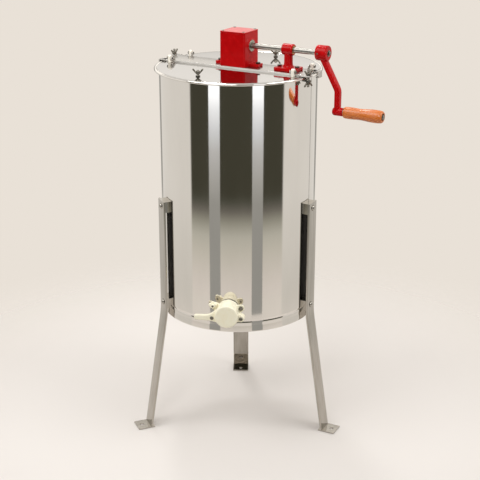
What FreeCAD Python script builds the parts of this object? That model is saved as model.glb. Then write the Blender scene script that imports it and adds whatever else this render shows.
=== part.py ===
import FreeCAD, Part
import math
import os

# Honeycomb centrifuge: a steel drum on three legs, with a two-frame basket turned by a hand crank through a pair of
# bevel gears. All lengths are in millimetres and all angles in degrees.
# The origin is on the drum's axis at the floor, +Z is up, and +X points along the crossbar to the crank.

V = FreeCAD.Vector
X, Y, Z = V(1, 0, 0), V(0, 1, 0), V(0, 0, 1)

# ---------------------------------------------------------------- driving dimensions
# drum
drum_radius = 185.0          # outside of the wall
drum_sheet = 1.0
drum_bottom_z = 296.0        # lower edge of the skirt
rim_z = 890.5                # top of the rolled rim
rim_roll_width = 7.0
rim_roll_height = 6.2
rim_shelf_drop = 1.2         # the lids' seat below the top of the rim
rim_shelf_width = 4.5
skirt_height = 26.0
skirt_pinch = 2.4            # how far the seam draws in below the wall
skirt_flare = 0.3            # how far the skirt's foot stands out past the wall
skirt_roll = 1.4
floor_rise = 15.0            # height of the floor's cone

# legs
leg_right_azimuth = 2.5
leg_rear_azimuth = 118.2
leg_left_azimuth = 232.5
leg_width = 41.0
leg_depth = 10.0
leg_sheet = 2.0
leg_gap = 3.0                # between the drum and the channel's edges
leg_top_z = 586.5
leg_bend_z = 303.5
leg_splay = 46.4             # how far the leg leans out from its bend to the floor
leg_bolt_drop = 13.5         # of the upper bolt, below the leg's top
leg_bolt_rise = 24.0         # of the lower bolt, above the bend
leg_bolt_diameter = 6.0
leg_bolt_head = 12.0
leg_bolt_head_height = 4.0
leg_block_height = 26.0
foot_length = 41.5
foot_sheet = 3.0
foot_hole_diameter = 10.0
foot_hole_inset = 13.5       # from the plate's free end
feet_turned_in = ("rear",)

# crossbar
bar_width = 67.0
bar_end_reach = 5.0          # of the plate's ends, past the wall
bar_sheet = 2.5
bar_top_above_rim = 4.0
bar_side_depth = 25.0
bar_deep_inset = 9.0         # of the deep sides' ends, inside the wall
hook_offset = 29.0
hook_width = 14.0
tongue_offset = 32.0
tongue_radius = 9.0
hook_reach_down = 9.5
clamp_rod_diameter = 6.0
clamp_rod_gap = 1.2          # between the rim's roll and the rod
clamp_rod_above = 13.0
clamp_rod_below = 22.0
jaw_sheet = 2.5
jaw_width = 14.0
jaw_gap = 0.8                # below the rim's roll
clamp_nut_azimuth = 70.0     # of the wing nuts' ears at the crank's end
clamp_nut_left_azimuth = 280.0

# lids
lid_sheet = 0.8
lid_gap = 0.4                # between a lid's edge and the rim or the crossbar
lip_height = 8.0
lip_clearance = 2.5
lip_start = 80.0             # of the lip, from the crossbar's middle
lid_corner_depth = 60.0      # of the trimmed corners, which swing past the rim
lid_corner_trim = 1.6
lid_heel_clearance = 2.0     # between the wall and the corners behind the hinge
lug_width = 10.0
lug_depth = 10.0
lug_height = 18.6
lug_inset = 21.0             # of the lugs' middles, inside the wall
lug_stem_diameter = 3.0
lug_rivet_height = 1.2
lug_gap = 1.2                # between the crossbar and a lug
hinge_height = 10.4          # above the lid's upper face
hinge_pin_diameter = 4.0
hinge_ear_sheet = 2.0
hinge_ear_gap = 0.5
rear_lug_shift = 8.5         # of the rear lid's lugs along the crossbar
lid_knob_place = (20.0, 146.0)
lid_screw_diameter = 6.0
lid_nut_height = 2.6
lid_stem_bare = 3.4          # of thread between a lid's fixed nut and its wing nut
lid_swing = 92.0

# wing nuts
wing_span = 25.0
wing_height = 12.0
wing_sheet = 3.2
wing_hub_diameter = 11.0
wing_hub_height = 6.5
wing_gap = 0.3               # between a wing nut and its seat
thread_gap = 0.05            # running gap between a screw and what turns on it

# gearbox
gearbox_length = 66.0
gearbox_width = 65.0
gearbox_offset = 1.8         # the housing's middle, towards the crank from the rotor's axis
gearbox_height = 75.8
gearbox_wall = 6.0
gearbox_side_wall = 5.0
gearbox_floor = 8.0
gearbox_edge_round = 2.5
foot_ear_reach = 24.0        # of each mounting ear, out from the housing's end
foot_ear_width = 26.0
foot_ear_height = 6.5
foot_bolt_inset = 6.5        # from an ear's end
cover_thickness = 4.5
cover_screw_inset = 6.0
cover_screw_diameter = 4.0
cover_screw_depth = 14.0
cover_screw_head = 7.0
cover_screw_head_height = 1.2
bolt_diameter = 6.0
bolt_head_flats = 10.0
bolt_head_height = 4.0
shaft_z_above_rim = 50.9

# crank shaft and its bushes
crank_shaft_diameter = 13.0
crank_shaft_end = 228.0
running_gap = 0.05
bush_wall = 3.0
blind_bush_wall = 2.5        # left outside the crank shaft's inner bush
bush_flange_width = 3.9
bush_flange_height = 2.0

# bevel gears
gear_teeth = 24
pinion_teeth = 12
gear_module = 1.583
gear_face = 6.0
gear_backlash = 0.30
gear_hub_diameter = 24.0
gear_hub_length = 10.0
gear_back = 3.5
pinion_hub_diameter = 15.0
pinion_hub_length = 10.0
gear_pin_diameter = 4.0
pinion_pin_diameter = 2.5
neck_diameter = 8.0
gearing_gap = 1.5            # between the crank shaft and the rotor shaft's end

# support bracket
bracket_x = 131.0
bracket_length = 58.0
bracket_width = 40.0
bracket_base_height = 7.0
bracket_base_round = 4.0
bracket_column_diameter = 20.0
bracket_hub_diameter = 25.6
bracket_hub_length = 26.8

# crank
crank_hub_x = 217.25
crank_hub_diameter = 34.5
crank_hub_length = 27.5
crank_arm_width = 18.0
crank_arm_thickness = 13.0
crank_arm_round = 4.5
crank_offset = 39.55         # from the hub's middle out to the arm's lower run
crank_bend_above_rim = -29.5
crank_throw = 128.3          # from the shaft to the handle
crank_bend_radius = 14.0
elbow_diameter = 19.0
elbow_back = 11.3
elbow_front = 15.4
end_screw_head = 10.0
set_screw_diameter = 5.0

# handle
handle_collar = 2.0
handle_length = 93.3
handle_bolt_diameter = 8.0
handle_bush_wall = 1.0
handle_radii = (12.4, 13.5, 12.5, 14.8, 13.2)
handle_stations = (0.0, 12.0, 38.0, 74.0, 93.3)
handle_recess_diameter = 17.0
handle_recess_depth = 5.0
handle_nut_flats = 12.0
handle_nut_height = 6.0

# rotor
rotor_shaft_diameter = 15.0
cup_diameter = 40.0
cup_height = 18.0
thrust_ball_diameter = 8.0
basket_low_z = 396.0
basket_high_z = 852.0
basket_half_width = 120.0
basket_inner_y = 70.0
basket_clearance = 10.7      # between the outer posts' axes and the wall
rod_diameter = 6.0
wire_diameter = 2.0
mesh_columns = 9
mesh_rows = 16
spider_hub_diameter = 28.0
spider_hub_height = 16.0
spider_bar_width = 12.0
spider_bar_height = 5.0

# honey gate
gate_azimuth = 293.0
gate_z = 352.5
gate_bore_diameter = 38.0
gate_thread_diameter = 46.0
gate_hole_gap = 0.5
gate_lobe_place = (1.0, 19.0)
gate_lobe_radius = 16.0
gate_face_reach = 27.5       # of the body's valve face, out from the wall
gate_plate_thickness = 12.0
gate_nut_flats = 58.0
gate_nut_thickness = 8.0
gate_gasket_radius = 25.5
gate_gasket_thickness = 2.5
flap_radius = 27.5
flap_thickness = 18.0
flap_gap = 0.3
flap_edge_round = 4.0
pivot_place = (32.5, -6.5)
latch_place = (-35.0, -7.5)
gate_stud_place = (-34.2, 17.6)
side_nut_place = (31.0, 13.5)
ear_radius = 8.5
ear_thickness = 8.0
gate_screw_diameter = 5.0
gate_screw_head = 9.0
lever_end = -77.0
lever_height = 12.5
lever_thickness = 8.0
gate_wing_reach = 6.4
gate_wing_lobe = 8.0
gate_wing_thickness = 7.0

# ---------------------------------------------------------------- derived places
leg_azimuths = {"right": leg_right_azimuth, "rear": leg_rear_azimuth, "left": leg_left_azimuth}
leg_bolt_z = {"upper": leg_top_z - leg_bolt_drop, "lower": leg_bend_z + leg_bolt_rise}
wall_inner = drum_radius - drum_sheet
bar_reach = drum_radius + bar_end_reach
lug_offset = drum_radius - lug_inset
basket_outer_y = math.sqrt((wall_inner - basket_clearance) ** 2 - basket_half_width ** 2)
gate_face_radius = drum_radius + gate_face_reach
seam_z = drum_bottom_z + skirt_height
seam_radius = drum_radius - skirt_pinch
bar_top = rim_z + bar_top_above_rim
bar_under = bar_top - bar_sheet
shaft_z = rim_z + shaft_z_above_rim
lid_under = rim_z - rim_shelf_drop
lid_top = lid_under + lid_sheet
lid_edge_y = bar_width / 2 + lid_gap
rim_outer = drum_radius + rim_shelf_width + rim_roll_width
crank_radius = crank_shaft_diameter / 2
cone_distance = gear_module * math.hypot(gear_teeth, pinion_teeth) / 2
leg_inner = drum_radius + leg_gap
leg_outer = leg_inner + leg_depth
hinge_y = bar_width / 2 + lug_gap + lug_depth / 2
hinge_z = lid_top + hinge_height


# ---------------------------------------------------------------- shape helpers
def polar(radius, azimuth, z=0.0):
    """Point at a radius and azimuth from the drum's axis."""
    angle = math.radians(azimuth)
    return V(radius * math.cos(angle), radius * math.sin(angle), z)


def turned(shape, azimuth, centre=V(0, 0, 0), axis=Z):
    """Copy of a shape turned about an axis."""
    copy = shape.copy()
    copy.rotate(centre, axis, azimuth)
    return copy


def box(x_low, x_high, y_low, y_high, z_low, z_high):
    """Block between two corners."""
    return Part.makeBox(x_high - x_low, y_high - y_low, z_high - z_low, V(x_low, y_low, z_low))


def rod(diameter, start, end):
    """Round bar from one point to another."""
    axis = end - start
    return Part.makeCylinder(diameter / 2, axis.Length, start, axis)


def ring(outer, inner, height, base, axis=Z):
    """Tube of given radii, from its base along the axis."""
    return Part.makeCylinder(outer, height, base, axis).cut(Part.makeCylinder(inner, height, base, axis))


def revolved(points, axis=Z):
    """Solid of revolution of a closed outline of (radius, height) points about the drum's axis."""
    corners = [V(radius, 0, height) for radius, height in points]
    face = Part.Face(Part.makePolygon(corners + corners[:1]))
    return face.revolve(V(0, 0, 0), axis, 360)


def prism(points, direction):
    """Solid extruded from a closed outline of 3-D points."""
    return Part.Face(Part.makePolygon(points + points[:1])).extrude(direction)


def hexagon(flats, height, base, axis=Z):
    """Hexagonal prism of a width across flats."""
    radius = flats / math.sqrt(3)
    corners = [V(radius * math.cos(math.radians(60 * k)), radius * math.sin(math.radians(60 * k)), 0)
               for k in range(6)]
    shape = prism(corners, V(0, 0, height))
    shape.Placement = FreeCAD.Placement(base, FreeCAD.Rotation(Z, axis))
    return shape


def rounded(shape, radius, chosen):
    """Shape with the chosen edges rounded."""
    return shape.makeFillet(radius, [edge for edge in shape.Edges if chosen(edge)])


def upright(edge):
    """True for a straight vertical edge."""
    return abs(edge.BoundBox.ZLength - edge.Length) < 1e-6 and edge.Length > 1e-6


def at_height(z):
    """Test for the edges that lie level at a height."""
    return lambda edge: edge.BoundBox.ZLength < 1e-6 and abs(edge.BoundBox.ZMin - z) < 1e-6


def wing_nut(place, axis, spread):
    """Wing nut that stands on a place: a short tapered hub with two slender ears that rise outward."""
    bore = clamp_rod_diameter / 2 + thread_gap
    hub_radius, tip = wing_hub_diameter / 2, wing_span / 2
    hub = Part.makeCone(hub_radius, hub_radius * 0.8, wing_hub_height)
    inside = bore + 0.6
    outline = [(inside, wing_hub_height * 0.15), (hub_radius + 1.2, wing_hub_height * 0.4),
               (tip - 1.4, wing_height * 0.62), (tip, wing_height * 0.74), (tip - 0.2, wing_height * 0.92),
               (tip - 1.6, wing_height), (tip - 4.0, wing_height * 0.9), (hub_radius, wing_hub_height * 0.85),
               (inside, wing_hub_height * 0.95)]
    shape = hub
    for side in (1, -1):
        ear = prism([V(side * x, -wing_sheet / 2, z) for x, z in outline], V(0, wing_sheet, 0))
        shape = shape.fuse(ear)
    shape = shape.removeSplitter().cut(Part.makeCylinder(bore, wing_height))
    shape.Placement = FreeCAD.Placement(place, FreeCAD.Rotation(spread, axis.cross(spread), axis, "ZXY"))
    return shape


def screw(diameter, length, head, head_height, base, axis, domed=False):
    """Screw whose head stands on a base and whose shank runs back against the axis."""
    if domed:
        sphere_radius = (head ** 2 / 4 + head_height ** 2) / (2 * head_height)
        ball = Part.makeSphere(sphere_radius, base + axis * (head_height - sphere_radius))
        cap = ball.common(Part.makeCylinder(head, head_height, base, axis))
    else:
        cap = hexagon(head, head_height, base, axis)
    return cap.fuse(Part.makeCylinder(diameter / 2, length, base - axis * length, axis)).removeSplitter()


# ---------------------------------------------------------------- drum
def drum_wall():
    """Rolled sheet wall: a shelf for the lids and a rolled rim at the top, drawn in to the seam at the bottom."""
    shelf = rim_z - rim_shelf_drop
    shelf_end = drum_radius + rim_shelf_width
    roll_middle = shelf_end + rim_roll_width / 2
    outline = [
        (seam_radius - drum_sheet, seam_z), (seam_radius, seam_z),
        (drum_radius, seam_z + 5), (drum_radius, shelf - 3.5),
        (drum_radius + 1.2, shelf - 1.6), (shelf_end - 0.5, shelf - 1.6),
        (shelf_end, rim_z - rim_roll_height + 0.8), (roll_middle, rim_z - rim_roll_height),
        (rim_outer - 1.2, rim_z - rim_roll_height + 1.2), (rim_outer, rim_z - rim_roll_height / 2),
        (rim_outer - 1.2, rim_z - 1.1), (roll_middle, rim_z - 0.15),
        (shelf_end + 1.0, rim_z), (shelf_end, rim_z - 0.2), (shelf_end, shelf),
        (wall_inner + 1.0, shelf), (wall_inner, shelf - 1.0),
        (wall_inner, seam_z + 5),
    ]
    wall = revolved(outline)
    hole = Part.makeCylinder(gate_thread_diameter / 2 + gate_hole_gap, drum_radius * 2,
                             V(0, 0, gate_z), polar(1, gate_azimuth))
    return wall.cut(hole)


def drum_bottom():
    """Cone-shaped floor that sheds the honey to the wall, with the skirt band round it."""
    foot = drum_radius + skirt_flare
    roll_z = drum_bottom_z + skirt_roll
    outline = [
        (0, seam_z + floor_rise), (seam_radius - drum_sheet - 1.0, seam_z), (seam_radius, seam_z),
        (foot, roll_z + 1.5), (foot, roll_z), (foot - skirt_roll / 2, drum_bottom_z),
        (foot - drum_sheet - skirt_roll / 2, drum_bottom_z), (foot - drum_sheet - skirt_roll, roll_z),
        (foot - drum_sheet - skirt_roll / 2, roll_z + skirt_roll),
        (seam_radius - drum_sheet, seam_z - 1.5), (seam_radius - drum_sheet - 2.0, seam_z - drum_sheet),
        (0, seam_z + floor_rise - drum_sheet),
    ]
    return revolved(outline)


# ---------------------------------------------------------------- legs
def leg_frame(shape, name):
    """Leg piece turned from the +X side to its own azimuth."""
    return turned(shape, leg_azimuths[name])


def leg(name):
    """Folded channel: upright beside the drum, then leaning out to the floor."""
    half = leg_width / 2
    foot_outer = leg_outer + leg_splay
    outer = [V(leg_outer, -half, leg_top_z), V(leg_outer, -half, leg_bend_z), V(foot_outer, -half, foot_sheet),
             V(foot_outer - leg_depth, -half, foot_sheet), V(leg_inner, -half, leg_bend_z),
             V(leg_inner, -half, leg_top_z)]
    solid = prism(outer, V(0, leg_width, 0))
    inside = half - leg_sheet
    core = [V(leg_outer - leg_sheet, -inside, leg_top_z), V(leg_outer - leg_sheet, -inside, leg_bend_z),
            V(foot_outer - leg_sheet, -inside, foot_sheet), V(leg_inner - leg_depth, -inside, foot_sheet),
            V(leg_inner - leg_depth, -inside, leg_top_z)]
    shape = solid.cut(prism(core, V(0, 2 * inside, 0)))
    for z in leg_bolt_z.values():
        shape = shape.cut(rod(leg_bolt_diameter, V(leg_inner, 0, z), V(leg_outer, 0, z)))
    return leg_frame(shape, name)


def foot(name):
    """Foot plate under a leg, with one floor bolt hole."""
    heel = leg_outer + leg_splay
    low, high = heel - leg_depth, heel - leg_depth + foot_length
    hole_x = high - foot_hole_inset
    if name in feet_turned_in:
        low, high = heel - foot_length, heel
        hole_x = low + foot_hole_inset
    plate = box(low, high, -leg_width / 2, leg_width / 2, 0, foot_sheet)
    hole = Part.makeCylinder(foot_hole_diameter / 2, foot_sheet, V(hole_x, 0, 0))
    return leg_frame(plate.cut(hole), name)


def leg_block(name, height):
    """Block welded to the drum, which the channel fits over."""
    z = leg_bolt_z[height]
    half = leg_width / 2 - leg_sheet - 0.2
    block = box(drum_radius - 5, leg_outer - leg_sheet, -half, half,
                z - leg_block_height / 2, z + leg_block_height / 2)
    block = block.cut(turned(Part.makeCylinder(drum_radius, rim_z), 90))
    block = block.cut(rod(leg_bolt_diameter, V(drum_radius, 0, z), V(leg_outer, 0, z)))
    return leg_frame(block, name)


def leg_bolt(name, height):
    """Domed bolt through the channel into its block."""
    z = leg_bolt_z[height]
    bolt = screw(leg_bolt_diameter, leg_outer - drum_radius - 0.5, leg_bolt_head, leg_bolt_head_height,
                 V(leg_outer, 0, z), X, domed=True)
    return leg_frame(bolt, name)


# ---------------------------------------------------------------- crossbar and its clamps
def clamp_place():
    """Axis of the clamp rod at the crank's end, just outside the rim's roll."""
    reach = rim_outer + clamp_rod_gap + clamp_rod_diameter / 2
    return V(math.sqrt(reach ** 2 - tongue_offset ** 2), -tongue_offset, 0)


def crossbar():
    """Folded channel across the drum, with a hook and a clamp tongue at each end and ears for the lid hinges."""
    half = bar_width / 2
    reach = bar_reach
    deep = drum_radius - bar_deep_inset
    shape = box(-reach, reach, -half, half, bar_under, bar_top)
    for side in (1, -1):
        inner, outer = sorted((side * half, side * (half - bar_sheet)))
        shape = shape.fuse(box(-deep, deep, inner, outer, bar_top - bar_side_depth, bar_under))
        shape = shape.fuse(box(-reach, reach, inner, outer, rim_z, bar_under))
    rod_place = clamp_place()
    hook_face = math.sqrt((rim_outer + 1.0) ** 2 - (hook_offset - hook_width / 2) ** 2)
    for turn in (0, 180):
        tongue = box(reach - 12, rod_place.x, -tongue_offset - tongue_radius, -tongue_offset + tongue_radius,
                     bar_under, bar_top)
        tongue = tongue.fuse(Part.makeCylinder(tongue_radius, bar_sheet, V(rod_place.x, -tongue_offset, bar_under)))
        hook = box(reach - 12, hook_face + bar_sheet, hook_offset - hook_width / 2,
                   hook_offset + hook_width / 2, bar_under, bar_top)
        hook = hook.fuse(box(hook_face, hook_face + bar_sheet, hook_offset - hook_width / 2,
                             hook_offset + hook_width / 2, rim_z - hook_reach_down, bar_under))
        hook = hook.fuse(box(hook_face - 6.5, hook_face, hook_offset - hook_width / 2, hook_offset + hook_width / 2,
                             rim_z - hook_reach_down, rim_z - hook_reach_down + 2.0))
        for piece in (tongue, hook):
            shape = shape.fuse(turned(piece, turn))
    for place in hinge_ear_places():
        shape = shape.fuse(hinge_ear(*place))
    shape = shape.removeSplitter()
    for turn in (0, 180):
        hole = Part.makeCylinder(clamp_rod_diameter / 2 + 0.2, 40, V(rod_place.x, rod_place.y, rim_z - 10))
        shape = shape.cut(turned(hole, turn))
    for place in foot_bolt_places() + bracket_bolt_places():
        shape = shape.cut(Part.makeCylinder(bolt_diameter / 2, bar_sheet, V(place.x, place.y, bar_under)))
    shape = shape.cut(Part.makeCylinder(rotor_bush_radius(), bar_sheet, V(0, 0, bar_under)))
    return shape


def lug_x(side, lid_side):
    """Middle of a lug along the crossbar: side is its end, lid_side is -1 for the front lid."""
    return side * lug_offset + (rear_lug_shift if lid_side > 0 else 0.0)


def hinge_ear_places():
    """Lower X and side of each hinge ear, which stands beside its lug towards the gearbox."""
    gap = lug_width / 2 + hinge_ear_gap
    places = []
    for lid_side in (1, -1):
        places.append((lug_x(1, lid_side) - gap - hinge_ear_sheet, lid_side))
        places.append((lug_x(-1, lid_side) + gap, lid_side))
    return places


def hinge_ear(x, side):
    """Small upright plate on the crossbar's edge that carries one hinge pin."""
    inner = bar_width / 2 - 6.0
    outline = [V(x, side * inner, bar_top), V(x, side * (bar_width / 2), bar_top),
               V(x, side * (hinge_y + 3.4), hinge_z - 3.4), V(x, side * (hinge_y + 3.4), hinge_z + 3.4),
               V(x, side * (hinge_y - 4.0), hinge_z + 3.4), V(x, side * inner, bar_top + 3.0)]
    ear = prism(outline, V(hinge_ear_sheet, 0, 0))
    hole = rod(hinge_pin_diameter, V(x, side * hinge_y, hinge_z), V(x + hinge_ear_sheet, side * hinge_y, hinge_z))
    return ear.cut(hole)


def hinge_pin(x, side):
    """Pin pressed into an ear and headed outside the lug."""
    outward = 1 if x > 0 else -1
    start = x if x > 0 else x + hinge_ear_sheet
    length = hinge_ear_sheet + hinge_ear_gap + lug_width + hinge_ear_gap
    middle = V(start, side * hinge_y, hinge_z)
    shank = rod(hinge_pin_diameter, middle, middle + X * outward * length)
    head = rod(hinge_pin_diameter + 3.0, middle + X * outward * length, middle + X * outward * (length + 1.5))
    return shank.fuse(head).removeSplitter()


def clamp_rod(turn):
    """Threaded rod beside the rim."""
    place = clamp_place()
    bar = rod(clamp_rod_diameter, V(place.x, place.y, rim_z - clamp_rod_below),
              V(place.x, place.y, bar_top + clamp_rod_above))
    return turned(bar, turn)


def jaw_top():
    """Height of the clamp jaw's upper face."""
    return rim_z - rim_roll_height - jaw_gap


def clamp_jaw(turn):
    """Plate on the clamp rod that hooks under the rim's roll."""
    place = clamp_place()
    azimuth = math.degrees(math.atan2(place.y, place.x))
    reach = math.hypot(place.x, place.y)
    top = jaw_top()
    plate = box(drum_radius + 2.5, reach, -jaw_width / 2, jaw_width / 2, top - jaw_sheet, top)
    plate = plate.fuse(Part.makeCylinder(jaw_width / 2, jaw_sheet, V(reach, 0, top - jaw_sheet)))
    plate = plate.removeSplitter()
    plate = plate.cut(Part.makeCylinder(clamp_rod_diameter / 2, 20, V(reach, 0, top - 10)))
    return turned(turned(plate, azimuth), turn)


def clamp_nut(turn, upper):
    """Wing nut on a clamp rod: above the tongue, or below the jaw and upside down."""
    place = clamp_place()
    azimuth = math.radians(clamp_nut_left_azimuth if turn else clamp_nut_azimuth)
    spread = V(math.cos(azimuth), math.sin(azimuth), 0)
    if upper:
        nut = wing_nut(V(place.x, place.y, bar_top + wing_gap), Z, spread)
    else:
        nut = wing_nut(V(place.x, place.y, jaw_top() - jaw_sheet - wing_gap), V(0, 0, -1), spread)
    return turned(nut, turn)


# ---------------------------------------------------------------- lids
def lid_outline(radius, edge, z, height):
    """Half-moon plate on the -Y side: an arc of a radius, closed by a straight edge."""
    disc = Part.makeCylinder(radius, height, V(0, 0, z))
    return disc.common(box(-radius, radius, -radius, -edge, z, z + height))


def lid(turn):
    """Half lid with a lip that drops inside the wall."""
    seat = drum_radius + rim_shelf_width - lid_gap
    lip_outer = wall_inner - lip_clearance
    shape = lid_outline(seat, lid_corner_depth, lid_under, lid_sheet)
    corner = lid_outline(seat - lid_corner_trim, hinge_y + lid_heel_clearance, lid_under, lid_sheet)
    heel = lid_outline(wall_inner - lid_heel_clearance, lid_edge_y, lid_under, lid_sheet)
    lip = lid_outline(lip_outer, lip_start, lid_under - lip_height, lip_height)
    lip = lip.cut(lid_outline(lip_outer - lid_sheet, 0, lid_under - lip_height, lip_height))
    shape = shape.fuse(corner).fuse(heel).fuse(lip).removeSplitter()
    knob_x, knob_y = lid_knob_place
    shape = shape.cut(Part.makeCylinder(lid_screw_diameter / 2, lid_sheet, V(-knob_x, -knob_y, lid_under)))
    for side in (1, -1):
        shape = shape.cut(Part.makeCylinder(lug_stem_diameter / 2, lid_sheet, V(local_lug_x(side, turn), -hinge_y,
                                                                                lid_under)))
    return turned(shape, turn)


def local_lug_x(side, turn):
    """Middle of a lug in the frame of a lid before it is turned into place."""
    return lug_x(side, -1) if turn == 0 else -lug_x(side, 1)


def lid_lug(side, turn):
    """Nylon lug with a round top that turns on the hinge pin."""
    middle = local_lug_x(side, turn)
    low, high = middle - lug_width / 2, middle + lug_width / 2
    round_z = lid_top + lug_height - lug_depth / 2
    block = box(low, high, -hinge_y - lug_depth / 2, -hinge_y + lug_depth / 2, lid_top, round_z)
    block = block.fuse(Part.makeCylinder(lug_depth / 2, lug_width, V(low, -hinge_y, round_z), X)).removeSplitter()
    bore = Part.makeCylinder(hinge_pin_diameter / 2 + running_gap, lug_width, V(low, -hinge_y, hinge_z), X)
    stem = Part.makeCylinder(lug_stem_diameter / 2, lid_sheet, V(middle, -hinge_y, lid_under))
    foot_disc = Part.makeCylinder(lug_stem_diameter, lug_rivet_height, V(middle, -hinge_y, lid_under - lug_rivet_height))
    return turned(block.cut(bore).fuse(stem).fuse(foot_disc).removeSplitter(), turn)


def lid_screw(turn):
    """Screw up through a lid, with its head under it and a fixed nut above."""
    knob_x, knob_y = lid_knob_place
    base = V(-knob_x, -knob_y, lid_under)
    height = lid_sheet + lid_nut_height + lid_stem_bare + wing_hub_height + 1.0
    shape = screw(lid_screw_diameter, height, bolt_head_flats, bolt_head_height, base, V(0, 0, -1))
    nut = hexagon(bolt_head_flats, lid_nut_height, V(-knob_x, -knob_y, lid_top))
    return turned(shape.fuse(nut).removeSplitter(), turn)


def lid_nut(turn):
    """Wing nut on a lid's screw."""
    knob_x, knob_y = lid_knob_place
    spread = V(math.cos(math.radians(30)), math.sin(math.radians(30)), 0)
    height = lid_top + lid_nut_height + lid_stem_bare
    return turned(wing_nut(V(-knob_x, -knob_y, height), Z, spread), turn)


# ---------------------------------------------------------------- gearbox
def gearbox_end(side):
    """X of the gearbox housing's end face."""
    return gearbox_offset + side * gearbox_length / 2


def foot_bolt_places():
    """Bolt axes in the gearbox housing's mounting ears."""
    reach = foot_ear_reach - foot_bolt_inset
    return [V(gearbox_end(side) + side * reach, 0, 0) for side in (1, -1)]


def bracket_bolt_places():
    """Bolt axes in the support bracket's base."""
    reach = bracket_length / 2 - foot_bolt_inset
    return [V(bracket_x + side * reach, 0, 0) for side in (1, -1)]


def cover_screw_places():
    """Screw axes in the gearbox cover's corners."""
    return [V(gearbox_offset + x * (gearbox_length / 2 - cover_screw_inset),
              y * (gearbox_width / 2 - cover_screw_inset), 0) for x in (1, -1) for y in (1, -1)]


def bush_radius():
    """Outside of a crank bush."""
    return crank_radius + running_gap + bush_wall


def rotor_bush_radius():
    """Outside of the rotor shaft's upper bush."""
    return rotor_shaft_diameter / 2 + running_gap + bush_wall


def gearbox_housing():
    """Cast housing: walls and bosses for the bushes, open at the top, with a mounting ear at each end."""
    top = bar_top + gearbox_height
    low_x, high_x, half = gearbox_end(-1), gearbox_end(1), gearbox_width / 2
    body = rounded(box(low_x, high_x, -half, half, bar_top, top), gearbox_edge_round, upright)
    ears = box(low_x - foot_ear_reach, high_x + foot_ear_reach, -foot_ear_width / 2, foot_ear_width / 2,
               bar_top, bar_top + foot_ear_height)
    ears = rounded(ears, gearbox_edge_round, upright)
    cavity = box(low_x + gearbox_wall, high_x - gearbox_wall, -half + gearbox_side_wall, half - gearbox_side_wall,
                 bar_top + gearbox_floor, top)
    for place in cover_screw_places():
        cavity = cavity.cut(Part.makeCylinder(cover_screw_inset - 0.5, gearbox_height - gearbox_floor,
                                              V(place.x, place.y, bar_top + gearbox_floor)))
    shape = body.fuse(ears).removeSplitter().cut(cavity)
    blind = low_x + blind_bush_wall
    shape = shape.cut(Part.makeCylinder(bush_radius(), high_x - blind, V(blind, 0, shaft_z), X))
    shape = shape.cut(Part.makeCylinder(rotor_bush_radius(), gearbox_floor, V(0, 0, bar_top)))
    for place in cover_screw_places():
        shape = shape.cut(Part.makeCylinder(cover_screw_diameter / 2, cover_screw_depth,
                                            V(place.x, place.y, top - cover_screw_depth)))
    for place in foot_bolt_places():
        shape = shape.cut(Part.makeCylinder(bolt_diameter / 2, foot_ear_height, V(place.x, place.y, bar_top)))
    return shape


def gearbox_cover():
    """Flat lid of the gearbox, with a screw hole in each corner."""
    low = bar_top + gearbox_height
    cover = box(gearbox_end(-1), gearbox_end(1), -gearbox_width / 2, gearbox_width / 2, low, low + cover_thickness)
    cover = rounded(cover, gearbox_edge_round, upright)
    cover = rounded(cover, 1.0, at_height(low + cover_thickness))
    for place in cover_screw_places():
        cover = cover.cut(Part.makeCylinder(cover_screw_diameter / 2, cover_thickness, V(place.x, place.y, low)))
    return cover


def cover_screw(place):
    """Domed screw of the gearbox cover."""
    top = bar_top + gearbox_height + cover_thickness
    return screw(cover_screw_diameter, cover_thickness + cover_screw_depth - 1.0, cover_screw_head,
                 cover_screw_head_height, V(place.x, place.y, top), Z, domed=True)


def bar_bolt(place, plate_height):
    """Hexagon bolt through a cast base and the crossbar, with its nut beneath."""
    seat = bar_top + plate_height
    bolt = screw(bolt_diameter, plate_height + bar_sheet + 7, bolt_head_flats, bolt_head_height,
                 V(place.x, place.y, seat), Z)
    nut = hexagon(bolt_head_flats, 5, V(place.x, place.y, bar_under - 5))
    return bolt.fuse(nut).removeSplitter()


def crank_bush(start, length, axis, blind=False):
    """Flanged bush of the crank shaft, with its flange at the start and its sleeve along the axis."""
    sleeve = Part.makeCylinder(bush_radius(), length, start, axis)
    collar = Part.makeCylinder(bush_radius() + bush_flange_width, bush_flange_height,
                               start - axis * bush_flange_height, axis)
    bore = Part.makeCylinder(crank_radius + running_gap, length + bush_flange_height,
                             start - axis * bush_flange_height, axis)
    return sleeve.fuse(collar).cut(bore)


def rotor_bush():
    """Flanged bush of the rotor shaft in the gearbox floor."""
    outer = rotor_bush_radius()
    top = bar_top + gearbox_floor
    sleeve = Part.makeCylinder(outer, top - bar_under, V(0, 0, bar_under))
    collar = Part.makeCylinder(outer + 3.0, 2.0, V(0, 0, top))
    bore = Part.makeCylinder(rotor_shaft_diameter / 2 + running_gap, 40, V(0, 0, bar_under))
    return sleeve.fuse(collar).cut(bore)


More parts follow.
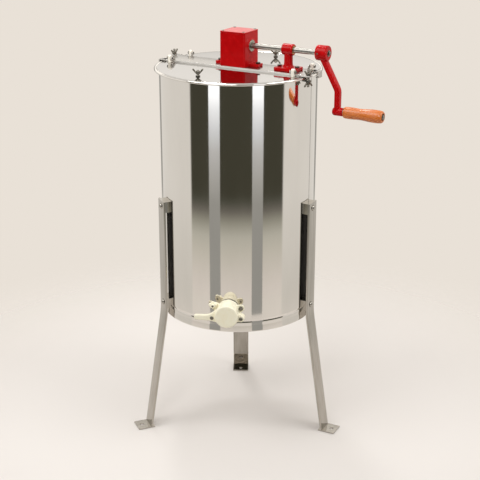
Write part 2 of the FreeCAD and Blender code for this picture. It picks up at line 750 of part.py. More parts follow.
def support_bracket():
    """Cast stand for the crank shaft: base plate, round column and hub."""
    base = box(bracket_x - bracket_length / 2, bracket_x + bracket_length / 2,
               -bracket_width / 2, bracket_width / 2, bar_top, bar_top + bracket_base_height)
    base = rounded(base, bracket_base_round, upright)
    column = Part.makeCylinder(bracket_column_diameter / 2, shaft_z - bar_top, V(bracket_x, 0, bar_top))
    hub = Part.makeCylinder(bracket_hub_diameter / 2, bracket_hub_length,
                            V(bracket_x - bracket_hub_length / 2, 0, shaft_z), X)
    hub = rounded(hub, 1.5, lambda edge: edge.BoundBox.XLength < 1e-6)
    shape = base.fuse(column).fuse(hub).removeSplitter()
    shape = shape.cut(Part.makeCylinder(bush_radius(), bracket_hub_length,
                                        V(bracket_x - bracket_hub_length / 2, 0, shaft_z), X))
    for place in bracket_bolt_places():
        shape = shape.cut(Part.makeCylinder(bolt_diameter / 2, bracket_base_height, V(place.x, place.y, bar_top)))
    return shape


def support_bush():
    """Plain bush in the support bracket's hub."""
    return ring(bush_radius(), crank_radius + running_gap, bracket_hub_length,
                V(bracket_x - bracket_hub_length / 2, 0, shaft_z), X)


# ---------------------------------------------------------------- bevel gears
def involute(angle):
    """Involute function of an angle in radians."""
    return math.tan(angle) - angle


def tooth_half_width(height, virtual_teeth):
    """Half the tooth's thickness at a height above the pitch cone, from the equivalent spur gear."""
    pressure = math.radians(20)
    pitch = gear_module * virtual_teeth / 2
    radius = pitch + height
    flank = math.acos(min(1.0, pitch * math.cos(pressure) / radius))
    half_angle = math.pi / (2 * virtual_teeth) + involute(pressure) - involute(flank)
    return radius * math.sin(half_angle) - gear_backlash / 4


def bevel_tooth(teeth, other_teeth, phase):
    """One straight bevel tooth on a gear whose apex is the origin and whose axis is +Z."""
    cone = math.atan2(teeth, other_teeth)
    virtual_teeth = teeth / math.cos(cone)
    heights = [-1.25 * gear_module - 0.4, -0.6 * gear_module, 0.0, 0.5 * gear_module, 0.9 * gear_module]
    across = [tooth_half_width(max(height, -1.25 * gear_module), virtual_teeth) for height in heights]
    around = V(math.cos(phase), math.sin(phase), 0)
    side = V(-math.sin(phase), math.cos(phase), 0)
    along = Z * math.cos(cone) + around * math.sin(cone)
    outward = around * math.cos(cone) - Z * math.sin(cone)
    wires = []
    for distance in (cone_distance, cone_distance - gear_face):
        scale = distance / cone_distance
        left = [(along * cone_distance + outward * h + side * t) * scale for h, t in zip(heights, across)]
        right = [(along * cone_distance + outward * h - side * t) * scale for h, t in zip(heights, across)]
        corners = left + right[::-1]
        wires.append(Part.makePolygon(corners + corners[:1]))
    return Part.makeLoft(wires, True, True)


def bevel_gear(teeth, other_teeth, hub_diameter, hub_length, back, bore, first_phase):
    """Straight bevel gear with a hub behind it: apex at the origin, axis +Z."""
    cone = math.atan2(teeth, other_teeth)
    root = 1.25 * gear_module
    points = []
    for distance in (cone_distance - gear_face, cone_distance):
        scale = distance / cone_distance
        radius = (cone_distance * math.sin(cone) - root * math.cos(cone)) * scale
        height = (cone_distance * math.cos(cone) + root * math.sin(cone)) * scale
        points.append((radius, height))
    (inner_radius, inner_z), (outer_radius, outer_z) = points
    back_z = outer_z + back
    outline = [(bore, inner_z), (inner_radius, inner_z), (outer_radius, outer_z), (outer_radius, back_z - 1.0),
               (outer_radius - 1.0, back_z), (hub_diameter / 2, back_z), (hub_diameter / 2, back_z + hub_length),
               (bore, back_z + hub_length)]
    blank = revolved(outline)
    pitch = 2 * math.pi / teeth
    shape = blank.multiFuse([bevel_tooth(teeth, other_teeth, first_phase + pitch * k) for k in range(teeth)])
    shape = shape.removeSplitter()
    shape = shape.cut(Part.makeCylinder(bore, cone_distance * 3))
    return shape, back_z + hub_length / 2


def crank_gear():
    """Gear on the crank shaft: axis +X, a tooth pointing straight down."""
    shape, pin_at = bevel_gear(gear_teeth, pinion_teeth, gear_hub_diameter, gear_hub_length, gear_back,
                               crank_radius, 0.0)
    shape.Placement = FreeCAD.Placement(V(0, 0, shaft_z), FreeCAD.Rotation(Y, 90))
    pin_x = pin_at
    hole = rod(gear_pin_diameter, V(pin_x, 0, shaft_z - 30), V(pin_x, 0, shaft_z + 30))
    return shape.cut(hole), pin_x


def rotor_pinion():
    """Pinion on the rotor shaft's neck: axis -Z, a gap facing the gear."""
    first = math.pi / pinion_teeth
    shape, pin_at = bevel_gear(pinion_teeth, gear_teeth, pinion_hub_diameter, pinion_hub_length, gear_back,
                               neck_diameter / 2, first)
    shape.Placement = FreeCAD.Placement(V(0, 0, shaft_z), FreeCAD.Rotation(X, 180))
    pin_z = shaft_z - pin_at
    hole = rod(pinion_pin_diameter, V(0, -20, pin_z), V(0, 20, pin_z))
    return shape.cut(hole), pin_z


# ---------------------------------------------------------------- crank
def crank_shaft(pin_x):
    """Plain shaft from the gearbox's blind bush to the crank hub."""
    start = gearbox_end(-1) + blind_bush_wall + 0.5
    shaft = rod(crank_shaft_diameter, V(start, 0, shaft_z), V(crank_shaft_end, 0, shaft_z))
    shaft = shaft.makeChamfer(0.8, [edge for edge in shaft.Edges if edge.BoundBox.XLength < 1e-6])
    shaft = shaft.cut(rod(gear_pin_diameter, V(pin_x, 0, shaft_z - 20), V(pin_x, 0, shaft_z + 20)))
    tapped = rod(6.0, V(crank_shaft_end - 14, 0, shaft_z), V(crank_shaft_end + 1, 0, shaft_z))
    return shaft.cut(tapped)


def arm_section(start):
    """Rounded rectangle of the crank arm, level at the start of its path."""
    half_x, half_y, corner = crank_arm_thickness / 2, crank_arm_width / 2, crank_arm_round
    blank = box(-half_x, half_x, -half_y, half_y, 0, 1)
    blank = rounded(blank, corner, upright)
    section = [face for face in blank.Faces if abs(face.CenterOfMass.z) < 1e-6][0].OuterWire
    section.translate(start)
    return section


def crank_arm():
    """Cast crank: hub, bent arm and elbow that carries the handle."""
    hub_low, hub_high = crank_hub_x - crank_hub_length / 2, crank_hub_x + crank_hub_length / 2
    hub = Part.makeCylinder(crank_hub_diameter / 2, crank_hub_length, V(hub_low, 0, shaft_z), X)
    hub = rounded(hub, 1.5, lambda edge: edge.BoundBox.XLength < 1e-6)
    low_x = crank_hub_x + crank_offset
    handle_z = shaft_z - crank_throw
    bend_z = rim_z + crank_bend_above_rim
    hub_exit = V(crank_hub_x, 0, shaft_z - crank_hub_diameter / 2 + 3)
    bend = V(low_x, 0, bend_z)
    slant = (bend - hub_exit).normalize()
    turn_angle = math.acos(max(-1.0, min(1.0, slant.dot(V(0, 0, -1)))))
    setback = crank_bend_radius * math.tan(turn_angle / 2)
    arc_start, arc_end = bend - slant * setback, bend - Z * setback
    towards = (V(0, 0, -1) - slant).normalize()
    arc_middle = bend + towards * (crank_bend_radius / math.cos(turn_angle / 2) - crank_bend_radius)
    start = hub_exit
    path = Part.Wire([Part.LineSegment(start, arc_start).toShape(), Part.Arc(arc_start, arc_middle, arc_end).toShape(),
                      Part.LineSegment(arc_end, V(low_x, 0, handle_z)).toShape()])
    section = arm_section(V(0, 0, 0))
    section.Placement = FreeCAD.Placement(start, FreeCAD.Rotation(V(0, 0, -1), slant))
    arm = path.makePipeShell([section], True, False)
    elbow = Part.makeCylinder(elbow_diameter / 2, elbow_back + elbow_front, V(low_x - elbow_back, 0, handle_z), X)
    elbow = rounded(elbow, 4.0, lambda edge: edge.BoundBox.XLength < 1e-6
                    and edge.BoundBox.XMin < low_x)
    shape = hub.fuse(arm).fuse(elbow).removeSplitter()
    shape = shape.cut(Part.makeCylinder(crank_radius, crank_hub_length, V(hub_low, 0, shaft_z), X))
    bolt_start = low_x - elbow_back + 6
    shape = shape.cut(rod(handle_bolt_diameter, V(bolt_start, 0, handle_z), V(low_x + elbow_front, 0, handle_z)))
    shape = shape.cut(rod(set_screw_diameter, V(hub_low + 7, -crank_hub_diameter / 2, shaft_z),
                          V(hub_low + 7, -crank_radius, shaft_z)))
    return shape


def crank_end_screw():
    """Screw with a washer that holds the crank on its shaft."""
    face = crank_hub_x + crank_hub_length / 2
    shank = rod(6.0, V(crank_shaft_end - 12, 0, shaft_z), V(face, 0, shaft_z))
    washer = Part.makeCylinder(end_screw_head / 2 + 2.5, 1.0, V(face, 0, shaft_z), X)
    head = hexagon(end_screw_head * 0.8, 3.0, V(face + 1.0, 0, shaft_z), X)
    return shank.fuse(washer).fuse(head).removeSplitter()


def crank_set_screw():
    """Set screw in the side of the crank hub."""
    x = crank_hub_x - crank_hub_length / 2 + 7
    return rod(set_screw_diameter, V(x, -crank_hub_diameter / 2 - 0.8, shaft_z), V(x, -crank_radius - 0.3, shaft_z))


# ---------------------------------------------------------------- handle
def handle_start():
    """Where the wooden handle begins, past its collar."""
    return crank_hub_x + crank_offset + elbow_front + handle_collar


def handle_axis_z():
    """Height of the handle's axis."""
    return shaft_z - crank_throw


def handle_bolt():
    """Long bolt screwed into the elbow, with a collar before the handle and a nut in its end."""
    start = crank_hub_x + crank_offset - elbow_back + 6
    begin = handle_start()
    z = handle_axis_z()
    nut_start = begin + handle_length - handle_recess_depth + 0.3
    shank = rod(handle_bolt_diameter, V(start, 0, z), V(nut_start + handle_nut_height, 0, z))
    collar = Part.makeCylinder(elbow_diameter / 2 - 1.0, handle_collar - 0.3,
                               V(begin - handle_collar, 0, z), X)
    return shank.fuse(collar).removeSplitter()


def handle_end_nut():
    """Nut on the handle bolt, in the recess of the handle's end."""
    nut_start = handle_start() + handle_length - handle_recess_depth + 0.3
    z = handle_axis_z()
    nut = hexagon(handle_nut_flats, handle_nut_height, V(nut_start, 0, z), X)
    return nut.cut(Part.makeCylinder(handle_bolt_diameter / 2, handle_nut_height, V(nut_start, 0, z), X))


def handle_bush():
    """Brass tube in the handle, which runs on the bolt."""
    inner = handle_bolt_diameter / 2 + running_gap
    return ring(inner + handle_bush_wall, inner, handle_length - handle_recess_depth,
                V(handle_start(), 0, handle_axis_z()), X)


def wooden_handle():
    """Turned grip: a bulge at the arm, a waist and a thicker end with a recess."""
    start, z = handle_start(), handle_axis_z()
    spline = Part.BSplineCurve()
    spline.interpolate([V(start + 2.5 + (station if 0 < station < handle_length else
                                         (0 if station == 0 else handle_length - 5.0)), 0, z + radius)
                        for station, radius in zip(handle_stations, handle_radii)])
    first, last = spline.StartPoint, spline.EndPoint
    end_x = start + handle_length
    edges = [
        Part.LineSegment(V(start, 0, z), V(start, 0, z + handle_radii[0] - 2.5)).toShape(),
        Part.Arc(V(start, 0, z + handle_radii[0] - 2.5),
                 V(start + 2.5 - 2.5 * math.cos(math.pi / 4), 0, z + handle_radii[0] - 2.5 + 2.5 * math.sin(math.pi / 4)),
                 first).toShape(),
        spline.toShape(),
        Part.Arc(last, V(end_x - 0.9, 0, z + handle_radii[-1] - 1.0), V(end_x, 0, z + handle_radii[-1] - 3.0)).toShape(),
        Part.LineSegment(V(end_x, 0, z + handle_radii[-1] - 3.0), V(end_x, 0, z)).toShape(),
        Part.LineSegment(V(end_x, 0, z), V(start, 0, z)).toShape(),
    ]
    grip = Part.Face(Part.Wire(edges)).revolve(V(start, 0, z), X, 360)
    bore = handle_bolt_diameter / 2 + running_gap + handle_bush_wall
    grip = grip.cut(Part.makeCylinder(bore, handle_length, V(start, 0, z), X))
    recess = Part.makeCylinder(handle_recess_diameter / 2, handle_recess_depth,
                               V(end_x - handle_recess_depth, 0, z), X)
    return grip.cut(recess)


# ---------------------------------------------------------------- rotor
def floor_top(radius):
    """Height of the drum floor's upper face at a radius."""
    edge = seam_radius - drum_sheet - 1.0
    return seam_z + floor_rise * (1 - radius / edge)


def cup_base():
    """Height that the bearing cup stands at."""
    return floor_top(0)


def shaft_foot_z():
    """Lower end of the rotor shaft, on its thrust ball."""
    return cup_base() + 2.0 + thrust_ball_diameter + running_gap


def bottom_bearing_cup():
    """Cup on the drum floor that guides the rotor shaft and holds the thrust ball."""
    cup = Part.makeCylinder(cup_diameter / 2, cup_height, V(0, 0, cup_base() - 1.6))
    cone = revolved([(0, 0), (0, seam_z + floor_rise), (seam_radius - drum_sheet - 1.0, seam_z),
                     (seam_radius - drum_sheet - 1.0, 0)])
    cup = cup.cut(cone)
    bore = Part.makeCylinder(rotor_shaft_diameter / 2 + running_gap, cup_height, V(0, 0, shaft_foot_z() - 3.0))
    seat = Part.makeSphere(thrust_ball_diameter / 2, V(0, 0, cup_base() + 2.0 + thrust_ball_diameter / 2))
    return cup.cut(bore).cut(seat)


def thrust_ball():
    """Ball that carries the rotor."""
    return Part.makeSphere(thrust_ball_diameter / 2, V(0, 0, cup_base() + 2.0 + thrust_ball_diameter / 2))


def rotor_shaft(pin_z):
    """Shaft of the basket: full thickness up to the gearbox, then a neck for the pinion."""
    neck_z = pin_z - pinion_hub_length / 2
    neck_top = shaft_z - crank_radius - gearing_gap
    body = rod(rotor_shaft_diameter, V(0, 0, shaft_foot_z()), V(0, 0, neck_z))
    neck = rod(neck_diameter, V(0, 0, neck_z), V(0, 0, neck_top))
    shaft = body.fuse(neck).removeSplitter()
    return shaft.cut(rod(pinion_pin_diameter, V(0, -20, pin_z), V(0, 20, pin_z)))


def spider(z, upward):
    """Hub with cross bars that carry the basket's rails."""
    hub_low = z if upward else z - spider_hub_height
    hub = Part.makeCylinder(spider_hub_diameter / 2, spider_hub_height, V(0, 0, hub_low))
    bar_low = z if upward else z - spider_bar_height
    half = spider_bar_width / 2
    reach = basket_outer_y - rod_diameter / 2
    shape = hub
    for x in (-1, 1):
        offset = x * (spider_hub_diameter / 2 - half)
        shape = shape.fuse(box(offset - half, offset + half, -reach, reach, bar_low, bar_low + spider_bar_height))
    shape = shape.removeSplitter()
    return shape.cut(Part.makeCylinder(rotor_shaft_diameter / 2, spider_hub_height * 3,
                                       V(0, 0, hub_low - spider_hub_height)))


def basket_frame(side):
    """Welded rod cage of one pocket: four posts and two loops of rails."""
    half = basket_half_width
    low, high = basket_low_z, basket_high_z
    radius = rod_diameter / 2
    inner, outer = sorted((side * basket_inner_y, side * basket_outer_y))
    parts = [rod(rod_diameter, V(x, y, low - radius), V(x, y, high + radius))
             for x in (-half, half) for y in (inner, outer)]
    for z in (low, high):
        for y in (inner, outer):
            parts.append(rod(rod_diameter, V(-half, y, z), V(half, y, z)))
        for x in (-half, half):
            parts.append(rod(rod_diameter, V(x, inner, z), V(x, outer, z)))
    return parts[0].multiFuse(parts[1:]).removeSplitter()


def basket_mesh(side, place_y, face):
    """Wire mesh of one wall of a pocket: uprights, with cross wires laid on them."""
    half = basket_half_width - rod_diameter / 2
    low, high = basket_low_z + rod_diameter / 2, basket_high_z - rod_diameter / 2
    upright_y = side * place_y
    across_y = upright_y + face * side * wire_diameter
    wires = []
    for column in range(mesh_columns):
        x = half * (2 * (column + 1) / (mesh_columns + 1) - 1)
        wires.append(rod(wire_diameter, V(x, upright_y, low), V(x, upright_y, high)))
    for row in range(mesh_rows):
        z = low + (high - low) * (row + 1) / (mesh_rows + 1)
        wires.append(rod(wire_diameter, V(-half, across_y, z), V(half, across_y, z)))
    return wires


# ---------------------------------------------------------------- honey gate
def gate_frame(shape):
    """Gate piece from its own frame (x to the right, y up, z out of the drum) to its place on the drum."""
    angle = math.radians(gate_azimuth)
    right = V(-math.sin(angle), math.cos(angle), 0)
    out = polar(1, gate_azimuth)
    copy = shape.copy()
    copy.Placement = FreeCAD.Placement(V(0, 0, gate_z), FreeCAD.Rotation(right, Z, out, "ZXY"))
    return copy


def tab(place, radius, low, high):
    """Ear of the gate round a screw, joined to its middle."""
    x, y = place
    disc = Part.makeCylinder(radius, high - low, V(x, y, low))
    length = math.hypot(x, y)
    side = V(-y / length, x / length, 0) * radius
    tip = V(x, y, low)
    root = V(0, 0, low)
    web = prism([tip + side, tip - side, root - side * 1.6, root + side * 1.6], V(0, 0, high - low))
    return disc.fuse(web)


def gate_body():
    """Gate body: threaded spigot through the wall, collar, valve face and ears."""
    face = gate_face_radius
    collar_low = drum_radius + gate_gasket_thickness
    plate_low = face - gate_plate_thickness
    spigot_end = wall_inner - gate_nut_thickness - 7.0
    shape = Part.makeCylinder(gate_thread_diameter / 2, face - spigot_end, V(0, 0, spigot_end))
    shape = shape.fuse(Part.makeCylinder(gate_gasket_radius + 1.5, plate_low - collar_low, V(0, 0, collar_low)))
    lobe = Part.makeCylinder(gate_lobe_radius, face - collar_low - 6.0, V(*gate_lobe_place, collar_low + 1.0))
    shape = shape.fuse(lobe)
    shape = shape.fuse(Part.makeCylinder(flap_radius, gate_plate_thickness, V(0, 0, plate_low)))
    shape = shape.fuse(tab(pivot_place, ear_radius, face - ear_thickness, face))
    shape = shape.fuse(tab(side_nut_place, ear_radius, plate_low, plate_low + 4))
    shape = shape.fuse(tab(gate_stud_place, ear_radius, plate_low, plate_low + 4))
    shape = shape.removeSplitter()
    shape = shape.cut(Part.makeCylinder(gate_bore_diameter / 2, face, V(0, 0, 0)))
    shape = shape.cut(Part.makeCylinder(gate_screw_diameter / 2, face, V(*pivot_place, 0)))
    for place in (gate_stud_place, side_nut_place):
        shape = shape.cut(Part.makeCylinder(gate_screw_diameter / 2, face, V(*place, 0)))
    return gate_frame(shape)


def gate_gasket(outside):
    """Rubber washer between the round wall and a flat face of the gate."""
    if outside:
        blank = ring(gate_gasket_radius, gate_thread_diameter / 2, 12, V(0, 0, drum_radius + gate_gasket_thickness - 12))
        wall = Part.makeCylinder(drum_radius, 2 * drum_radius, V(0, -drum_radius, 0), Y)
        return gate_frame(blank.cut(wall))
    blank = ring(gate_gasket_radius, gate_thread_diameter / 2, 8, V(0, 0, gate_nut_face()))
    inside = Part.makeCylinder(wall_inner, 2 * drum_radius, V(0, -drum_radius, 0), Y)
    return gate_frame(blank.common(inside))


def gate_nut_face():
    """Radius of the lock nut's face, just inside the round wall."""
    return math.sqrt(wall_inner ** 2 - (gate_nut_flats / math.sqrt(3)) ** 2) - 0.2


def gate_lock_nut():
    """Hexagonal nut on the gate's spigot inside the drum."""
    low = gate_nut_face() - gate_nut_thickness
    nut = hexagon(gate_nut_flats, gate_nut_thickness, V(0, 0, low))
    return gate_frame(nut.cut(Part.makeCylinder(gate_thread_diameter / 2, gate_nut_thickness, V(0, 0, low))))


def gate_pivot_screw():
    """Screw that the flap turns on."""
    low = gate_face_radius - ear_thickness - 4
    head_z = gate_face_radius + flap_gap + ear_thickness + 0.3
    return gate_frame(screw(gate_screw_diameter, head_z - low, gate_screw_head, 3.0, V(*pivot_place, head_z), Z,
                            domed=True))


def gate_side_nut():
    """Screw and nut at the gate body's upper right."""
    plate_low = gate_face_radius - gate_plate_thickness
    shank = Part.makeCylinder(gate_screw_diameter / 2, 14, V(*side_nut_place, plate_low - 3))
    nut = hexagon(9.0, 5.0, V(*side_nut_place, plate_low + 4))
    return gate_frame(shank.fuse(nut).removeSplitter())


def gate_stud():
    """Stud of the gate's plastic wing nut."""
    plate_low = gate_face_radius - gate_plate_thickness
    return gate_frame(Part.makeCylinder(gate_screw_diameter / 2, 14.5, V(*gate_stud_place, plate_low - 3)))


def gate_wing_nut():
    """Plastic two-lobed nut on the gate's stud."""
    low = gate_face_radius - gate_plate_thickness + 4.3
    x, y = gate_stud_place
    shape = Part.makeCylinder(gate_wing_lobe * 0.6, gate_wing_thickness, V(x, y, low))
    for angle in (25, 155):
        tip = V(math.cos(math.radians(angle)), math.sin(math.radians(angle)), 0) * gate_wing_reach
        shape = shape.fuse(Part.makeCylinder(gate_wing_lobe / 2, gate_wing_thickness - 1.0, V(x, y, low) + tip))
    shape = shape.removeSplitter()
    return gate_frame(shape.cut(Part.makeCylinder(gate_screw_diameter / 2 + thread_gap, 20, V(x, y, low))))


def gate_flap():
    """Flap that closes the gate: a round cap with a pivot ear, a latch ear and a lever."""
    low = gate_face_radius + flap_gap
    cap = Part.makeCylinder(flap_radius, flap_thickness, V(0, 0, low))
    cap = rounded(cap, flap_edge_round, lambda edge: abs(edge.BoundBox.ZMin - low - flap_thickness) < 1e-6
                  and edge.BoundBox.ZLength < 1e-6)
    shape = cap.fuse(tab(pivot_place, ear_radius, low, low + ear_thickness))
    x, y = latch_place
    lever = prism([V(lever_end, y - lever_height / 2, low), V(lever_end, y + lever_height / 2, low),
                   V(x - 6, y + lever_height / 2 + 1.0, low), V(-18, 16, low), V(-18, -20, low),
                   V(x - 4, y - lever_height / 2 - 1.0, low)], V(0, 0, lever_thickness))
    shape = shape.fuse(lever).removeSplitter()
    shape = shape.cut(Part.makeCylinder(gate_screw_diameter / 2 + thread_gap, flap_thickness, V(*pivot_place, low)))
    shape = shape.cut(Part.makeCylinder(gate_screw_diameter / 2, flap_thickness, V(x, y, low)))
    return gate_frame(shape)


def gate_latch_bolt():
    """Bolt through the flap's latch ear."""
    seat = gate_face_radius + flap_gap + lever_thickness
    return gate_frame(screw(gate_screw_diameter, lever_thickness, gate_screw_head, 3.0, V(*latch_place, seat), Z,
                            domed=True))


# ---------------------------------------------------------------- build
def export(name, pieces):
    """Write one node's solids to a STEP file."""
    solids = pieces if isinstance(pieces, list) else [pieces]
    solids = [solid for piece in solids for solid in piece.Solids]
    shape = solids[0] if len(solids) == 1 else Part.makeCompound(solids)
    shape.exportStep("parts/" + name + ".step")


def build():
    """Make and write every piece."""
    os.makedirs("parts", exist_ok=True)
    export("drum_wall", drum_wall())
    export("drum_bottom", drum_bottom())
    for name in leg_azimuths:
        export("leg_" + name, leg(name))
    export("foot_plates", [foot(name) for name in leg_azimuths])
    export("leg_blocks", [leg_block(name, height) for name in leg_azimuths for height in leg_bolt_z])
    export("leg_bolts", [leg_bolt(name, height) for name in leg_azimuths for height in leg_bolt_z])
    export("crossbar", crossbar())
    export("hinge_pins", [hinge_pin(*place) for place in hinge_ear_places()])
    export("clamp_rods", [clamp_rod(turn) for turn in (0, 180)])
    export("clamp_jaws", [clamp_jaw(turn) for turn in (0, 180)])
    for name, turn in (("right", 0), ("left", 180)):
        export("clamp_nut_" + name, clamp_nut(turn, True))
        export("jaw_nut_" + name, clamp_nut(turn, False))
    for name, turn in (("front", 0), ("rear", 180)):
        export(name + "_lid", lid(turn))
        export(name + "_lid_lugs", [lid_lug(side, turn) for side in (1, -1)])
        export(name + "_lid_screw", lid_screw(turn))
        export(name + "_lid_nut", lid_nut(turn))
    export("gearbox_housing", gearbox_housing())
    export("gearbox_cover", gearbox_cover())
    export("cover_screws", [cover_screw(place) for place in cover_screw_places()])
    export("foot_bolts", [bar_bolt(place, foot_ear_height) for place in foot_bolt_places()]
           + [bar_bolt(place, bracket_base_height) for place in bracket_bolt_places()])
    export("crank_bushes", [crank_bush(V(gearbox_end(1), 0, shaft_z), gearbox_wall, -X),
                            crank_bush(V(gearbox_end(-1) + gearbox_wall, 0, shaft_z),
                                       gearbox_wall - blind_bush_wall, -X)])
    export("rotor_bush", rotor_bush())
    export("support_bracket", support_bracket())
    export("support_bush", support_bush())
    gear, pin_x = crank_gear()
    pinion, pin_z = rotor_pinion()
    export("crank_gear", gear)
    export("crank_gear_pin", rod(gear_pin_diameter, V(pin_x, 0, shaft_z - gear_hub_diameter / 2 - 0.5),
                                 V(pin_x, 0, shaft_z + gear_hub_diameter / 2 + 0.5)))
    export("rotor_pinion", pinion)
    export("pinion_pin", rod(pinion_pin_diameter, V(0, -pinion_hub_diameter / 2 - 0.4, pin_z),
                             V(0, pinion_hub_diameter / 2 + 0.4, pin_z)))
    export("crank_shaft", crank_shaft(pin_x))
    export("crank_arm", crank_arm())
    export("crank_end_screw", crank_end_screw())
    export("crank_set_screw", crank_set_screw())
    export("handle_bolt", handle_bolt())
    export("handle_end_nut", handle_end_nut())
    export("handle_bush", handle_bush())
    export("wooden_handle", wooden_handle())
    export("bottom_bearing_cup", bottom_bearing_cup())
    export("thrust_ball", thrust_ball())
    export("rotor_shaft", rotor_shaft(pin_z))
    export("basket_spiders", [spider(basket_low_z - rod_diameter / 2 - spider_bar_height, True),
                              spider(basket_high_z + rod_diameter / 2 + spider_bar_height, False)])
    export("basket_frames", [basket_frame(side) for side in (1, -1)])
    export("basket_mesh", [wire for side in (1, -1) for place_y in (basket_inner_y, basket_outer_y)
                           for wire in basket_mesh(side, place_y, -1)])
    export("gate_body", gate_body())
    export("gate_gaskets", [gate_gasket(True), gate_gasket(False)])
    export("gate_lock_nut", gate_lock_nut())
    export("gate_pivot_screw", gate_pivot_screw())
    export("gate_side_nut", gate_side_nut())
    export("gate_stud", gate_stud())
    export("gate_wing_nut", gate_wing_nut())
    export("gate_flap", gate_flap())
    export("gate_latch_bolt", gate_latch_bolt())


build()
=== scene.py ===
"""Dressed model of a hand cranked honeycomb centrifuge: drum on three legs, bevel gearbox, crank and gate."""
import logging
import math
from collections.abc import Callable
from dataclasses import dataclass, field
from enum import Enum

import bmesh
import bpy
import numpy as np
from mathutils import Matrix, Vector


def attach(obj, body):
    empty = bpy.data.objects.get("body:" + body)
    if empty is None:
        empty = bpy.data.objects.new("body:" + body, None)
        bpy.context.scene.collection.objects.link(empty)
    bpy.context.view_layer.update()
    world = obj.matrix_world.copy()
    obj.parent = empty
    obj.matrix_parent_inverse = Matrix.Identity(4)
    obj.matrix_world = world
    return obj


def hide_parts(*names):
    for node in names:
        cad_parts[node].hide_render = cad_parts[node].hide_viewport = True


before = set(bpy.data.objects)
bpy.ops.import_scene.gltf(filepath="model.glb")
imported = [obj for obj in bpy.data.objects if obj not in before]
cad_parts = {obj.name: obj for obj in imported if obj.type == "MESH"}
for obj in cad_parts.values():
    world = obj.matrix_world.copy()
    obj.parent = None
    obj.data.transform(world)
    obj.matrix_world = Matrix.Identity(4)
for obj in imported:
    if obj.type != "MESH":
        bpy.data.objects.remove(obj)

log = logging.getLogger("centrifuge")
logging.basicConfig(level=logging.INFO, format="%(message)s")

Tree, Socket = bpy.types.NodeTree, bpy.types.NodeSocket
MM = 0.001
ROUND = 2 * math.pi
CAMERA_AZIMUTH = -60.0
# Places that sub-assemblies share, in millimetres and degrees.
RIM_TOP = 890.5
LID_TOP = 890.1
BAR_TOP = 894.5
SHAFT_HEIGHT = 941.4
HINGE_REACH = 39.7
GATE_AZIMUTH = 293.0
GATE_HEIGHT = 352.5
# Radius of a corner that stays sharp, and the angle above which an edge does, on four kinds of piece.
SHARP = 0.01
SHEET_CREASE, TURNED_CREASE, CASTING_CREASE, MOULDED_CREASE = 32.0, 40.0, 50.0, 60.0
# Shares between which nearly all values of a noise lie.
NOISE_LOW, NOISE_HIGH = 0.3, 0.7


# ---------------------------------------------------------------- colours and nodes
def linear(code: str) -> tuple[float, ...]:
    """Turns an sRGB hex code into linear red, green, blue and an alpha of one.

    Args:
        code: six hex digits after a hash sign.

    Returns:
        The linear colour.
    """
    parts = [int(code[k:k + 2], 16) / 255 for k in (1, 3, 5)]
    return tuple(v / 12.92 if v <= 0.04045 else ((v + 0.055) / 1.055) ** 2.4 for v in parts) + (1.0,)


def add_node(tree: Tree, kind: str, sockets: dict | None = None, **settings) -> bpy.types.Node:
    """Adds one node, sets its options, and fills or links its inputs.

    Args:
        tree: the node tree.
        kind: Blender's name of the node's type.
        sockets: input name or number, with a value or with the output socket that feeds it.
        settings: the node's own options.

    Returns:
        The new node.
    """
    node = tree.nodes.new(kind)
    for key, value in settings.items():
        setattr(node, key, value)
    for key, value in (sockets or {}).items():
        if isinstance(value, Socket):
            tree.links.new(value, node.inputs[key])
        else:
            node.inputs[key].default_value = value
    return node


def object_place(tree: Tree) -> Socket:
    """Object coordinates."""
    return add_node(tree, "ShaderNodeTexCoord").outputs["Object"]


def remap(tree: Tree, value: Socket, start: float, end: float, low: float = 0.0, high: float = 1.0,
          curve: str = "LINEAR") -> Socket:
    """Value carried from the range start to end into the range low to high."""
    return add_node(tree, "ShaderNodeMapRange", {
        "Value": value, "From Min": start, "From Max": end, "To Min": low, "To Max": high},
        interpolation_type=curve).outputs[0]


def ramped(tree: Tree, share: Socket, stops: list[tuple[float, tuple]]) -> Socket:
    """Colour ramp.

    Args:
        tree: the node tree.
        share: what runs along the ramp.
        stops: place from 0 to 1 and linear colour of each stop, in order.

    Returns:
        The ramp's colour.
    """
    node = add_node(tree, "ShaderNodeValToRGB", {"Fac": share})
    elements = node.color_ramp.elements
    while len(elements) > 1:
        elements.remove(elements[-1])
    elements[0].position, elements[0].color = stops[0]
    for place, colour in stops[1:]:
        elements.new(place).color = colour
    return node.outputs["Color"]


def mixed(tree: Tree, share: Socket, first: object, second: object) -> Socket:
    """Colour between two colours."""
    colours = {"Factor": share, 6: first, 7: second}
    return add_node(tree, "ShaderNodeMix", colours, data_type="RGBA").outputs[2]


def blank_material(name: str) -> tuple[bpy.types.Material, Tree]:
    """Makes a material without nodes.

    Args:
        name: name of the material.

    Returns:
        The material and its node tree.
    """
    made = bpy.data.materials.new(name)
    made.use_nodes = True
    made.node_tree.nodes.clear()
    return made, made.node_tree


# ---------------------------------------------------------------- finishes
class Pattern(Enum):
    """What a finish's tint and relief follow."""

    CLOUDS = "broad noise"
    RINGS = "growth rings along the grain"


